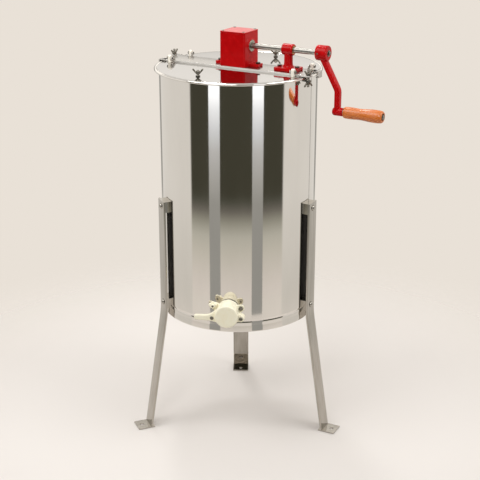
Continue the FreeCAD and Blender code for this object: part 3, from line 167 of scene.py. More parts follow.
@dataclass(frozen=True)
class Finish:
    """One real material and how its surface was made."""

    name: str
    colour: str
    shade: str
    metallic: float = 0.0
    roughness: float = 0.4
    roughness_spread: float = 0.05
    ior: float = 1.5
    coat: float = 0.0
    coat_roughness: float = 0.05
    pattern: Pattern = Pattern.CLOUDS
    grain_mm: float = 20.0           # across the pattern
    stretch: tuple[float, float, float] = (1.0, 1.0, 1.0)
    relief_mm: float = 0.01
    fine_mm: float = 1.0             # across the finer relief on top
    fine_relief_mm: float = 0.0

    def material(self) -> bpy.types.Material:
        """Builds the finish once, and gives it again when asked for it later.

        Returns:
            The material.
        """
        found = bpy.data.materials.get(self.name)
        if found:
            return found
        made, tree = blank_material(self.name)
        place = object_place(tree)
        stretched = add_node(tree, "ShaderNodeMapping", {"Vector": place, "Scale": self.stretch}).outputs[0]
        noise = add_node(tree, "ShaderNodeTexNoise", {
            "Vector": stretched, "Scale": 1 / (self.grain_mm * MM), "Detail": 4.0,
            "Roughness": 0.55}).outputs["Fac"]
        height = self._rings(tree, place, noise) if self.pattern is Pattern.RINGS else noise
        tint = ramped(tree, height, [(NOISE_LOW, linear(self.shade)), (NOISE_HIGH, linear(self.colour))])
        rough = remap(tree, noise, NOISE_LOW, NOISE_HIGH, self.roughness - self.roughness_spread,
                      self.roughness + self.roughness_spread)
        relief = {"Height": height, "Distance": self.relief_mm * MM}
        normal = add_node(tree, "ShaderNodeBump", relief).outputs[0]
        if self.fine_relief_mm:
            fine = add_node(tree, "ShaderNodeTexNoise", {
                "Vector": stretched, "Scale": 1 / (self.fine_mm * MM), "Detail": 3.0})
            relief = {"Height": fine.outputs["Fac"], "Distance": self.fine_relief_mm * MM, "Normal": normal}
            normal = add_node(tree, "ShaderNodeBump", relief).outputs[0]
        shader = add_node(tree, "ShaderNodeBsdfPrincipled", {
            "Base Color": tint, "Metallic": self.metallic, "Roughness": rough, "Coat Weight": self.coat,
            "Coat Roughness": self.coat_roughness, "Normal": normal})
        if not self.metallic:
            shader.inputs["IOR"].default_value = self.ior
        add_node(tree, "ShaderNodeOutputMaterial", {"Surface": shader.outputs[0]})
        return made

    def _rings(self, tree: Tree, place: Socket, warp: Socket) -> Socket:
        """Growth rings seen along the grain, bent by the broad noise.

        Args:
            tree: the material's node tree.
            place: object coordinates.
            warp: the broad noise.

        Returns:
            The rings' height.
        """
        along = add_node(tree, "ShaderNodeMapping", {
            "Vector": place, "Scale": (0.12, 1.0, 1.0), "Rotation": (0.0, 0.08, 0.06)}).outputs[0]
        rings = add_node(tree, "ShaderNodeTexWave", {
            "Vector": along, "Scale": 1 / (self.grain_mm * 1.4 * MM), "Distortion": 5.0, "Detail": 3.0,
            "Detail Scale": 1.5}, wave_type="BANDS", bands_direction="DIAGONAL")
        return add_node(tree, "ShaderNodeMix", {"Factor": 0.45, 2: rings.outputs["Fac"], 3: warp}).outputs[0]


# Cold rolled stainless, mirror polished: it shows the room in long, hardly bent bands.
MIRROR_SHEET = Finish("mirror_polished_stainless_sheet", "#e4e0da", "#dedad4", metallic=1.0, roughness=0.06,
                      roughness_spread=0.02, grain_mm=60.0, stretch=(1.0, 1.0, 0.25), relief_mm=0.02,
                      fine_mm=6.0, fine_relief_mm=0.0012)
# The same sheet flat on top, where its slight waves blur the gearbox's picture, coloured darker than the
# drum's sheet as painted shade on the top.
LID_SHEET_PAINTED_DARKER = Finish("mirror_polished_lid_sheet_painted_darker", "#b5b2af", "#adaaa6", metallic=1.0, roughness=0.07,
                   roughness_spread=0.03, grain_mm=90.0, relief_mm=0.05, fine_mm=8.0, fine_relief_mm=0.002)
# Stainless bar polished with a coarser belt: the castings still show in it, but blurred.
BAR_SHEET = Finish("belt_polished_stainless_bar", "#bdb9b4", "#b1ada7", metallic=1.0, roughness=0.26,
                   roughness_spread=0.03, grain_mm=12.0, stretch=(0.08, 1.0, 1.0), relief_mm=0.004)
# The bar's long sides: dull as the folding press left them, so that they hardly show the dim room, and with
# painted light, a paler colour than the bar's top sheet.
BAR_SIDE_PAINTED_LIGHT = Finish("press_dulled_stainless_painted_lighter", "#dfdcd7", "#d4d1cc", metallic=1.0, roughness=0.62, grain_mm=12.0,
                  stretch=(0.08, 1.0, 1.0), relief_mm=0.004)
# Stainless strip, folded and buffed: a soft mirror with faint lengthwise streaks.
LEG_SHEET = Finish("polished_stainless_strip", "#bbb6ae", "#a9a49b", metallic=1.0, roughness=0.075,
                   roughness_spread=0.02, grain_mm=9.0, stretch=(1.0, 1.0, 0.08), relief_mm=0.01, fine_mm=0.8,
                   fine_relief_mm=0.002)
# Painted shade: the legs' side next to the drum is coloured near-black for the dark gap between leg and drum.
PAINTED_SHADE_BLACK = Finish("black_painted_shade", "#1c1a16", "#141310", roughness=0.55, grain_mm=4.0)
# Domed stainless bolts of the legs, bright from the die.
BRIGHT_BOLT = Finish("bright_stainless_bolt", "#bdb9b1", "#8f8a82", metallic=1.0, roughness=0.12,
                     roughness_spread=0.02, grain_mm=3.0, relief_mm=0.004)
# Zinc plated steel of bought screws and nuts, greyed by handling.
ZINC = Finish("zinc_plated_steel", "#8a867d", "#67635a", metallic=1.0, roughness=0.28, roughness_spread=0.08,
              grain_mm=3.0)
# Nickel plated castings of the wing nuts, with a casting's uneven gloss.
NICKEL = Finish("nickel_plated_casting", "#918c80", "#5b574d", metallic=1.0, roughness=0.22,
                roughness_spread=0.08, grain_mm=2.5, relief_mm=0.02)
# Ground and polished steel with soft long highlights.
GROUND_SHAFT = Finish("ground_shaft_steel", "#a6a39d", "#8d8a83", metallic=1.0, roughness=0.34, grain_mm=4.0,
                      stretch=(4.0, 0.4, 0.4), relief_mm=0.003)
# Grey iron gears with a film of grease.
GEAR_IRON = Finish("machined_grey_iron", "#6b6862", "#4c4a45", metallic=1.0, roughness=0.38, grain_mm=2.0,
                   relief_mm=0.02, coat=0.25, coat_roughness=0.2)
# Turned bronze bushes.
BRONZE = Finish("turned_bronze", "#b7925a", "#94713f", metallic=1.0, roughness=0.3, grain_mm=2.0,
                stretch=(3.0, 1.0, 1.0), relief_mm=0.004)
# Bright plated bearing ring of the gearbox.
PLATED_RING = Finish("plated_bearing_ring", "#b5b1a4", "#8b877a", metallic=1.0, roughness=0.25, grain_mm=2.0,
                     relief_mm=0.004)
# Stove enamel over cast iron: glossy, with the casting's grain just felt through it.
RED_ENAMEL = Finish("red_enamelled_cast_iron", "#bd0b0f", "#ad080b", roughness=0.24, ior=1.14, coat=0.16,
                    coat_roughness=0.07, grain_mm=14.0, relief_mm=0.05, fine_mm=1.8, fine_relief_mm=0.006)
# The cover's top: enamel chalked by daylight and dust, and paler pink still from a painted sheen that stands
# for the bright room reflected in it: the same red under a dull pink bloom.
CHALK_AND_SHEEN_ENAMEL = Finish("chalked_red_enamel_with_painted_sheen", "#d47674", "#c26361", roughness=0.5, grain_mm=11.0,
                        relief_mm=0.03, fine_mm=1.6, fine_relief_mm=0.01)
# Turned beech under orange brown varnish: growth rings along the grip, a glassy coat.
VARNISHED_BEECH = Finish("varnished_turned_beech", "#dd7c2c", "#bb5a16", pattern=Pattern.RINGS,
                         roughness=0.38, roughness_spread=0.08, coat=0.35, coat_roughness=0.15, grain_mm=3.2,
                         stretch=(0.08, 1.0, 1.0), relief_mm=0.02)
# Moulded nylon: milky white, soft gloss.
NYLON = Finish("moulded_white_nylon", "#f6f0e4", "#efe8da", roughness=0.42, grain_mm=6.0)
# Moulded ivory plastic of the honey gate: half gloss with faint flow marks.
IVORY_PLASTIC = Finish("moulded_ivory_plastic", "#fdf8e2", "#faf3d8", roughness=0.34, grain_mm=11.0,
                       relief_mm=0.03, fine_mm=1.2, fine_relief_mm=0.004)
# Black moulded rubber.
RUBBER = Finish("moulded_black_rubber", "#2c2b28", "#201f1d", roughness=0.7, grain_mm=3.0, relief_mm=0.02)


# ---------------------------------------------------------------- places
def frame_at(origin: tuple, x_axis: tuple, y_axis: tuple) -> np.ndarray:
    """Matrix that carries x and y to two square directions; z goes to their cross product.

    Args:
        origin: where the origin goes, in millimetres.
        x_axis: direction of x.
        y_axis: direction of y.

    Returns:
        The 4 x 4 matrix.
    """
    x_unit = np.asarray(x_axis, float) / np.linalg.norm(x_axis)
    y_unit = np.asarray(y_axis, float) / np.linalg.norm(y_axis)
    matrix = np.eye(4)
    matrix[:3] = np.stack([x_unit, y_unit, np.cross(x_unit, y_unit), origin], axis=1)
    return matrix


def upright(x: float, y: float, z: float, azimuth: float = 0.0, up: int = 1) -> np.ndarray:
    """Matrix that stands a piece on a place.

    Args:
        x, y, z: the place.
        azimuth: how far the piece is turned, in degrees.
        up: 1, or -1 for a piece that hangs under the place.

    Returns:
        The 4 x 4 matrix.
    """
    cosine, sine = math.cos(math.radians(azimuth)), math.sin(math.radians(azimuth))
    return frame_at((x, y, z), (cosine, sine, 0), (-up * sine, up * cosine, 0))


def turned(azimuth: float) -> np.ndarray:
    """Matrix of a turn about the drum's axis, in degrees."""
    return upright(0, 0, 0, azimuth)


def along_x(x: float, y: float, z: float) -> np.ndarray:
    """Matrix that lays a turned piece's axis along +X from a place."""
    return frame_at((x, y, z), (0, 1, 0), (0, 0, 1))


def facing_gate() -> np.ndarray:
    """Matrix of the honey gate's frame: x to the right, y up, z out of the drum."""
    angle = math.radians(GATE_AZIMUTH)
    return frame_at((0, 0, GATE_HEIGHT), (-math.sin(angle), math.cos(angle), 0), (0, 0, 1))


# ---------------------------------------------------------------- surfaces
@dataclass
class Surface:
    """Points in millimetres, and the faces between them."""

    points: np.ndarray
    faces: list[list[int]]

    def placed(self, matrix: np.ndarray) -> "Surface":
        """The surface carried by a 4 x 4 matrix: each point times the turn, plus the shift."""
        return Surface(self.points @ matrix[:3, :3].T + matrix[:3, 3], self.faces)


def joined(*parts: Surface) -> Surface:
    """Puts surfaces together without merging their points.

    Args:
        parts: the surfaces.

    Returns:
        One surface with the points and faces of all.
    """
    shifts = np.cumsum([0] + [len(part.points) for part in parts]).tolist()
    faces = [[index + shift for index in face] for part, shift in zip(parts, shifts) for face in part.faces]
    return Surface(np.vstack([part.points for part in parts]), faces)


def grid(points: np.ndarray, wrap_rows: bool = False, wrap_columns: bool = False,
         ends: bool = False) -> Surface:
    """Quads between the points of a grid.

    Args:
        points: rows x columns x 3.
        wrap_rows: join the last row to the first.
        wrap_columns: join the last column to the first.
        ends: close the first and the last row with a flat face.

    Returns:
        The surface.
    """
    rows, columns = points.shape[:2]
    index = np.arange(rows * columns).reshape(rows, columns)
    closing = [index[0].tolist(), index[-1].tolist()] if ends else []
    if wrap_rows:
        index = np.vstack([index, index[:1]])
    if wrap_columns:
        index = np.hstack([index, index[:, :1]])
    quads = np.stack([index[:-1, :-1], index[:-1, 1:], index[1:, 1:], index[1:, :-1]], axis=-1).reshape(-1, 4)
    return Surface(points.reshape(-1, 3), quads.tolist() + closing)


def rectangle(low_x: float, high_x: float, low_y: float, high_y: float) -> list[tuple[float, float]]:
    """Corners of a rectangle, anticlockwise."""
    return [(low_x, low_y), (high_x, low_y), (high_x, high_y), (low_x, high_y)]


def softened(corners: list | np.ndarray, radius: float | list, steps: int = 5) -> np.ndarray:
    """Closed outline with its corners rounded.

    Each corner gives way to the parabola through the two points that lie a radius away on its sides:
    (1-t)^2 start + 2t(1-t) corner + t^2 end.

    Args:
        corners: outline's corners, n x 2.
        radius: one radius, or one for each corner; it is cut to half of the shorter side.
        steps: points on each corner.

    Returns:
        The outline, m x 2.
    """
    corners = np.asarray(corners, float)
    before, after = np.roll(corners, 1, axis=0) - corners, np.roll(corners, -1, axis=0) - corners
    before_length = np.linalg.norm(before, axis=1, keepdims=True)
    after_length = np.linalg.norm(after, axis=1, keepdims=True)
    reach = np.minimum(np.broadcast_to(radius, len(corners))[:, None],
                       0.499 * np.minimum(before_length, after_length))
    start, end = corners + before / before_length * reach, corners + after / after_length * reach
    t = np.linspace(0, 1, steps)[None, :, None]
    curve = (1 - t) ** 2 * start[:, None] + 2 * t * (1 - t) * corners[:, None] + t ** 2 * end[:, None]
    flat = curve.reshape(-1, corners.shape[1])
    return flat[np.linalg.norm(flat - np.roll(flat, 1, axis=0), axis=1) > 1e-5]


def circle(radius: float, steps: int = 48, centre: tuple = (0.0, 0.0), start: float = 0.0,
           end: float = 360.0) -> np.ndarray:
    """Points on a circle or an arc: (cos a, sin a) times the radius, shifted to the centre.

    Args:
        radius: its radius.
        steps: number of points.
        centre: its middle.
        start: angle of the first point, in degrees.
        end: angle of the last point; a full circle stops short of it.

    Returns:
        The points, n x 2.
    """
    full = abs(end - start) >= 360.0
    angle = np.radians(np.linspace(start, end, steps, endpoint=not full))
    return np.stack([centre[0] + radius * np.cos(angle), centre[1] + radius * np.sin(angle)], axis=1)


def lathe(profile: list | np.ndarray, steps: int = 64, closed: bool = False) -> Surface:
    """Surface of revolution: each profile point (r, h) becomes the circle (r cos a, r sin a, h).

    Args:
        profile: radius and height of each point. An open profile starts and ends on the axis.
        steps: points round the axis.
        closed: the profile is a loop clear of the axis.

    Returns:
        The surface about the z axis.
    """
    profile = np.asarray(profile, float)
    angle = np.linspace(0, ROUND, steps, endpoint=False)
    ring = np.stack([np.cos(angle), np.sin(angle)], axis=1)
    heights = np.broadcast_to(profile[:, None, 1:], (len(profile), steps, 1))
    points = np.concatenate([profile[:, None, :1] * ring[None], heights], axis=2)
    return grid(points, wrap_rows=closed, wrap_columns=True)


def washer(bore: float, radius: float, low: float, high: float, edges: float | list, corner_steps: int = 3,
           steps: int = 48) -> Surface:
    """Ring: a rectangle with rounded corners carried round the axis.

    Args:
        bore: inner radius.
        radius: outer radius.
        low: height of the underside.
        high: height of the top.
        edges: radius of the corners, from the lower inner one anticlockwise.
        corner_steps: points on each corner.
        steps: points round the axis.

    Returns:
        The ring about the z axis.
    """
    return lathe(softened(rectangle(bore, radius, low, high), edges, corner_steps), steps, closed=True)


def roller(radius: float, length: float, edge: float, corner_steps: int, steps: int) -> Surface:
    """Solid cylinder with rounded edges.

    Args:
        radius: its radius.
        length: its length.
        edge: radius of the edges.
        corner_steps: points on each edge.
        steps: points round the axis.

    Returns:
        The surface, standing on z = 0.
    """
    corners = softened(rectangle(0, radius, 0, length), [SHARP, edge, edge, SHARP], corner_steps)
    return lathe(np.vstack([[(0, 0)], corners, [(0, length)]]), steps)


def sweep(path: list | np.ndarray, section: np.ndarray, side: tuple, levels: tuple | None = None) -> Surface:
    """Section carried along a path that lies in one plane: point = path + side * u + (side x tangent) * v.

    Args:
        path: n x 3 points.
        section: closed outline of (u, v) points.
        side: unit vector square to the path's plane.
        levels: heights that the first and the last row are cut to, by sliding along the path.

    Returns:
        The closed surface.
    """
    path, side = np.asarray(path, float), np.asarray(side, float)
    tangent = np.gradient(path, axis=0)
    tangent /= np.linalg.norm(tangent, axis=1, keepdims=True)
    normal = np.cross(side, tangent)
    points = path[:, None] + section[None, :, :1] * side + section[None, :, 1:] * normal[:, None]
    for row, level in zip((0, -1), levels or ()):
        points[row] += tangent[row] * ((level - points[row][:, 2:]) / tangent[row][2])
    return grid(points, wrap_columns=True, ends=True)


def slab(outline: np.ndarray, low: float, high: float, edge: float = 0.6, steps: int = 4) -> Surface:
    """Plate with quarter-round edges: the outline drawn in by e(1 - sin a) at the height e(1 - cos a).

    Args:
        outline: closed outline, n x 2.
        low: height of the underside.
        high: height of the top.
        edge: radius of the edges.
        steps: rows on each edge.

    Returns:
        The closed surface.
    """
    ahead = np.roll(outline, -1, axis=0) - outline
    ahead /= np.linalg.norm(ahead, axis=1, keepdims=True)
    out_ahead = np.stack([ahead[:, 1], -ahead[:, 0]], axis=1)
    out_back = np.roll(out_ahead, 1, axis=0)
    mitre = (out_ahead + out_back) / np.maximum(1 + (out_ahead * out_back).sum(1, keepdims=True), 0.3)
    x, y = outline.T
    if (x * np.roll(y, -1) - np.roll(x, -1) * y).sum() < 0:
        mitre = -mitre
    angle = np.linspace(0, math.pi / 2, steps)
    inset, rise = edge * (1 - np.sin(angle)), edge * (1 - np.cos(angle))
    insets, heights = np.concatenate([inset, inset[::-1]]), np.concatenate([low + rise, (high - rise)[::-1]])
    flat = outline[None] - mitre[None] * insets[:, None, None]
    points = np.concatenate([flat, np.broadcast_to(heights[:, None, None], flat.shape[:2] + (1,))], axis=2)
    return grid(points, wrap_columns=True, ends=True)


def plug(radius: float, low: float, high: float, steps: int = 40) -> Surface:
    """Cylinder that bores a hole."""
    return slab(circle(radius, steps), low, high, 0.1)


def hexagon_head(flats: float, height: float, bore: float = 0.0) -> Surface:
    """Hexagon head or nut: radius flats / 2 / cos(a mod 60 - 30), with its top corners cut by a cone.

    Args:
        flats: width across the flats.
        height: height over the seat.
        bore: radius of the hole, or nothing for a screw's head.

    Returns:
        The surface, standing on z = 0.
    """
    flat = flats / 2
    angle = np.radians(np.arange(0, 360, 5.0))
    radius = flat / np.cos(np.mod(angle, math.pi / 3) - math.pi / 6)
    shoulder = height - (radius - flat) * 0.55 - 0.35
    rows = [(bore, 0), (radius - 0.25, 0), (radius, 0.3), (radius, shoulder),
            (np.minimum(radius, flat + 0.05) - 0.35, height), (bore, height)]
    points = [np.stack([r * np.cos(angle), r * np.sin(angle), h + 0 * angle], axis=1) for r, h in rows]
    return grid(np.stack(points), wrap_rows=bore > 0, wrap_columns=True)


def dome(diameter: float, height: float, edge: float = 0.5) -> Surface:
    """Domed head: height times the root of 1 - (r / R)^2 above a short straight edge.

    Args:
        diameter: its width.
        height: height of its top.
        edge: height of the straight edge.

    Returns:
        The surface, standing on z = 0.
    """
    radius = diameter / 2
    angle = np.linspace(0, math.pi / 2, 9)
    cap = np.stack([radius * np.cos(angle), edge + (height - edge) * np.sin(angle)], axis=1)
    return lathe(np.vstack([[(0, 0), (radius - 0.3, 0), (radius, 0.3)], cap]), 32)


class Thread(Enum):
    """Diameter and pitch; the pitches are a little coarse so that the turns show."""

    M5 = (5.0, 1.2)
    M6 = (6.0, 1.6)


def threaded_rod(thread: Thread, length: float) -> Surface:
    """Threaded rod: the radius swings between crest and root once each pitch; the ends are chamfered.

    Args:
        thread: its size.
        length: length over the ends.

    Returns:
        The surface, standing on z = 0.
    """
    diameter, pitch = thread.value
    height = np.arange(0.5, length - 0.5, pitch / 4)
    radius = diameter / 2 - 0.18 * (1 - np.cos(ROUND * height / pitch))
    end = diameter / 2 - 0.6
    side = np.stack([radius, height], axis=1)
    return lathe(np.vstack([[(0, 0), (end, 0)], side, [(end, length), (0, length)]]), 24)


# ---------------------------------------------------------------- pieces
def new_mesh(name: str, surface: Surface) -> bpy.types.Object:
    """Makes an object of a surface, merges its doubled points and turns its faces outwards.

    Args:
        name: name of the object.
        surface: what it is made of.

    Returns:
        The object, in the scene.
    """
    mesh = bpy.data.meshes.new(name)
    mesh.from_pydata((surface.points * MM).tolist(), [], surface.faces)
    work = bmesh.new()
    work.from_mesh(mesh)
    bmesh.ops.remove_doubles(work, verts=work.verts, dist=2e-6)
    bmesh.ops.recalc_face_normals(work, faces=work.faces)
    work.to_mesh(mesh)
    work.free()
    made = bpy.data.objects.new(name, mesh)
    bpy.context.scene.collection.objects.link(made)
    return made


def applied(obj: bpy.types.Object) -> None:
    """Works an object's modifiers into its mesh.

    Args:
        obj: the object.
    """
    graph = bpy.context.evaluated_depsgraph_get()
    mesh = bpy.data.meshes.new_from_object(obj.evaluated_get(graph))
    obj.modifiers.clear()
    old, obj.data = obj.data, mesh
    bpy.data.meshes.remove(old)


def melted(obj: bpy.types.Object, voxel: float, rounds: int) -> None:
    """Melts overlapping solids into one casting with hollow corners filled.

    Args:
        obj: the solids as one object.
        voxel: grid of the new skin, in millimetres.
        rounds: how often the skin is smoothed.
    """
    remesh = obj.modifiers.new("skin", "REMESH")
    remesh.mode, remesh.voxel_size = "VOXEL", voxel * MM
    smooth = obj.modifiers.new("soft", "SMOOTH")
    smooth.factor, smooth.iterations = 0.5, rounds
    applied(obj)


def bored(obj: bpy.types.Object, tool: Surface) -> None:
    """Takes a solid out of an object.

    Args:
        obj: the object.
        tool: the solid.
    """
    cutter = new_mesh("cutter", tool)
    knife = obj.modifiers.new("cut", "BOOLEAN")
    knife.operation, knife.object, knife.solver = "DIFFERENCE", cutter, "EXACT"
    applied(obj)
    bpy.data.objects.remove(cutter)


def make(name: str, surface: Surface, finish: Finish, slot: str, *nodes: str, body: str = "stand",
         melt: tuple = (), holes: tuple = (), crease: float = SHEET_CREASE) -> bpy.types.Object:
    """Makes a piece, gives it its material and hangs it on its body.

    Args:
        name: name of the piece.
        surface: what it is made of.
        finish: its material.
        slot: the record's material slot; not used.
        nodes: CAD nodes that it stands for.
        body: body that it moves with.
        melt: voxel and rounds of smoothing, where its solids melt into one.
        holes: solids that are taken out of it.
        crease: angle between faces above which an edge stays sharp, in degrees.

    Returns:
        The piece.
    """
    piece = new_mesh(name, surface)
    if melt:
        melted(piece, *melt)
    for hole in holes:
        bored(piece, hole)
    mesh = piece.data
    mesh.polygons.foreach_set("use_smooth", np.ones(len(mesh.polygons), dtype=bool))
    mesh.set_sharp_from_angle(angle=math.radians(crease))
    mesh.materials.clear()
    mesh.materials.append(finish.material())
    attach(piece, body)
    if nodes:
        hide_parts(*nodes)
    log.info("%s: %d faces on %s", piece.name, len(mesh.polygons), body)
    return piece


def second_finish(obj: bpy.types.Object, finish: Finish,
                  where: Callable[[np.ndarray, np.ndarray], np.ndarray]) -> None:
    """Gives some faces of a piece another finish.

    Args:
        obj: the piece.
        finish: their material.
        where: tells from the faces' normals and middles, both n x 3, which ones are meant.
    """
    polygons = obj.data.polygons
    normal, middle = np.empty((2, 3 * len(polygons)))
    polygons.foreach_get("normal", normal)
    polygons.foreach_get("center", middle)
    obj.data.materials.append(finish.material())
    chosen = where(normal.reshape(-1, 3), middle.reshape(-1, 3) / MM)
    polygons.foreach_set("material_index", chosen.astype(np.int32))


def dressed(finish: Finish, *nodes: str) -> None:
    """Gives CAD nodes that keep their shape a finish.

    Args:
        finish: their material.
        nodes: names of the nodes.
    """
    for node in nodes:
        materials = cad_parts[node].data.materials
        if not materials:
            materials.append(None)
        for k in range(len(materials)):
            materials[k] = finish.material()


# ---------------------------------------------------------------- sub-assemblies, in millimetres and degrees
@dataclass
class Drum:
    """Rolled drum wall with its beaded rim, cone bottom and skirt."""

    radius: float = 185.0
    sheet: float = 1.0
    bottom: float = 296.0
    seam: float = 322.0
    pinch: float = 0.7                # how far the wall draws in at its seam
    flare: float = 1.6                # how far the skirt widens
    middle: float = 640.0             # height of a ring of faces between gate and rim
    bead_reach: float = 193.0
    bead: tuple = (3.5, 3.1)          # half width and half height of the rolled rim
    gate_hole: float = 23.5
    welds: tuple = (63.4, 78.0)       # azimuths from the camera's
    steps: int = 256

    def wall(self) -> None:
        """Wall, lid shelf and bead in one revolved outline, with the gate's hole."""
        outer, inner, seam = self.radius, self.radius - self.sheet, self.seam
        waist, shelf, above_gate = outer - self.pinch, RIM_TOP - 1.2, GATE_HEIGHT + 27
        ledge = self.bead_reach - self.bead[0]
        bead = circle(1.0, 22, start=-150, end=140) * self.bead + (self.bead_reach, RIM_TOP - 3.15)
        outside = [(waist - 1.0, seam), (waist, seam), (outer - self.pinch / 2, seam + 1.6),
                   (outer, seam + 4.5), (outer, seam + 6.0), (outer, seam + 7.5), (outer, above_gate),
                   (outer, self.middle), (outer, shelf - 6.0), (outer, shelf - 5.0), (outer, shelf - 4.0),
                   (outer + 0.6, shelf - 2.3), (outer + 2.0, shelf - 1.7)]
        inside = [(ledge, RIM_TOP - 0.4), (ledge, shelf), (inner + 1.0, shelf), (inner + 0.3, shelf - 0.4),
                  (inner, shelf - 1.2), (inner, shelf - 3.0), (inner, self.middle), (inner, above_gate),
                  (inner, seam + 5.5)]
        surface = lathe(np.vstack([outside, bead, inside]), self.steps, closed=True)
        make("drum_wall_sheet", surface, MIRROR_SHEET, "polished_steel", "drum_wall",
             holes=(plug(self.gate_hole, 120.0, 240.0).placed(facing_gate()),))

    def weld(self) -> None:
        """Two fine lines of the planished long seam: a low ridge carried down the wall."""
        section = np.array([(-1.4, -0.2), (1.4, -0.2), (1.1, 0.08), (-1.1, 0.08)])
        heights = np.linspace(self.seam + 6, RIM_TOP - 8, 8)
        path = np.stack([np.full(8, self.radius), np.zeros(8), heights], axis=1)
        for number, azimuth in enumerate(self.welds):
            ridge = sweep(path, section, (0, 1, 0)).placed(turned(CAMERA_AZIMUTH + azimuth))
            make(f"drum_long_seam_{number + 1}", ridge, GROUND_SHAFT, "polished_steel")

    def floor(self) -> None:
        """Cone floor and the skirt band below the seam, whose lower edge is curled."""
        radius, seam, foot, waist = self.radius, self.seam, self.radius + self.flare, self.radius - self.pinch
        curl = circle(0.7, 10, centre=(foot - 0.7, self.bottom + 0.7), start=0, end=-200)
        outside = [(0, seam + 15), (waist - 2.0, seam), (waist, seam), (waist + 0.3, seam - 1.2),
                   (radius - 0.1, seam - 2.8), (radius, seam - 5.0), (radius, seam - 10.0),
                   (radius + 0.1, seam - 12.0), (foot, self.bottom + 2.5)]
        inside = [(foot - 1.3, self.bottom + 3.0), (waist - 1.2, seam - 4.0), (waist - 3.0, seam - 1.0),
                  (0, seam + 14)]
        make("drum_bottom_pressing", lathe(np.vstack([outside, curl, inside]), self.steps), MIRROR_SHEET,
             "polished_steel", "drum_bottom")

    def build(self) -> None:
        """Makes the drum's pieces."""
        self.wall()
        self.weld()
        self.floor()


@dataclass
class Legs:
    """Three folded channel legs with their domed bolts."""

    azimuths: dict = field(default_factory=lambda: {"right": 2.5, "rear": 118.2, "left": 232.5})
    width: float = 41.0
    depth: float = 4.5
    sheet: float = 2.0
    lip: float = 0.3
    fold: float = 3.0
    inner_fold: float = 1.2
    outer: float = 198.0
    top: float = 586.5
    bend: float = 303.5
    bend_radius: float = 14.0
    splay: float = 46.4
    plate: float = 3.0
    bolts: tuple = (573.0, 327.5)

    def section(self) -> np.ndarray:
        """Channel across the leg: the web outside, flanges towards the drum, folds rounded.

        Returns:
            The outline, n x 2.
        """
        half, inside, depth = self.width / 2, self.width / 2 - self.sheet, self.depth
        corners = [(-half, -depth), (-half, 0), (half, 0), (half, -depth), (inside, -depth),
                   (inside, -self.sheet), (-inside, -self.sheet), (-inside, -depth)]
        lip, fold, inner = self.lip, self.fold, self.inner_fold
        return softened(corners, [lip, fold, fold, lip, lip, inner, inner, lip], 6)

    def path(self) -> np.ndarray:
        """Line of the web's outer face: down, round the bend, and out to the floor.

        Returns:
            The line, n x 3.
        """
        outer, foot = self.outer, self.outer + self.splay
        knee = softened([(outer, self.top), (outer, self.bend), (foot, self.plate), (foot, self.top)],
                        [SHARP, self.bend_radius, SHARP, SHARP], 9)
        knee = knee[(knee[:, 1] < self.top - 1) & (knee[:, 0] < foot - 1)]
        line = np.vstack([[(outer, self.top)], knee, [(foot, self.plate)]])
        return np.stack([line[:, 0], np.zeros(len(line)), line[:, 1]], axis=1)

    def build(self) -> None:
        """Makes the legs and their bolts, and dresses their blocks and foot plates."""
        bolts: list[Surface] = []
        for name, azimuth in self.azimuths.items():
            channel = sweep(self.path(), self.section(), (0, -1, 0), levels=(self.top, self.plate))
            leg = make(f"folded_leg_{name}", channel.placed(turned(azimuth)), LEG_SHEET, "leg_steel",
                       f"leg_{name}")
            outwards = turned(azimuth)[:3, 0]
            # Faces towards the drum above the bend get painted shade, near-black for the gap between leg and
            # drum.
            second_finish(leg, PAINTED_SHADE_BLACK, lambda normal, middle: (
                (normal @ outwards < -0.5) & (middle[:, 2] > self.bend + 10)))
            for height in self.bolts:
                place = turned(azimuth) @ along_x(self.outer, 0, height)
                bolts += [washer(3.1, 7.8, 0, 0.6, 0.2, 3, 32).placed(place), dome(13.0, 4.8).placed(place)]
        make("domed_leg_bolts", joined(*bolts), BRIGHT_BOLT, "fastener_steel", "leg_bolts")
        dressed(LEG_SHEET, "foot_plates", "leg_blocks")


@dataclass
class WingNut:
    """Cast wing nut: a tapered hub and two rounded ears that rise outwards, melted together."""

    bore: float = 3.05
    height: float = 12.0
    span: float = 25.0
    thickness: float = 3.2

    def build(self, name: str, place: np.ndarray, body: str) -> None:
        """Makes one nut.

        Args:
            name: name of the piece.
            place: matrix of its seat, x along the ears and z away from the seat.
            body: body that it turns with, and CAD node that it stands for.
        """
        hub = lathe([(self.bore, 0), (5.3, 0), (5.5, 0.4), (4.7, 5.8), (4.3, 6.4), (self.bore, 6.5)], 32,
                    closed=True)
        tip, height, half = self.span / 2, self.height, self.thickness / 2
        outline = softened([(2.0, 1.2), (6.7, 2.2), (tip - 1.6, height * 0.6), (tip, height * 0.74),
                            (tip - 0.1, height * 0.93), (tip - 1.7, height), (tip - 4.2, height * 0.9),
                            (5.3, 5.9), (2.0, 6.2)], 1.3, 4)
        ear = slab(outline, -half, half, 1.3).placed(frame_at((0, 0, 0), (1, 0, 0), (0, 0, 1)))
        other = ear.placed(frame_at((0, 0, 0), (-1, 0, 0), (0, -1, 0)))
        make(name, joined(hub, ear, other).placed(place), NICKEL, "fastener_steel", body, body=body,
             melt=(0.45, 2), crease=MOULDED_CREASE)


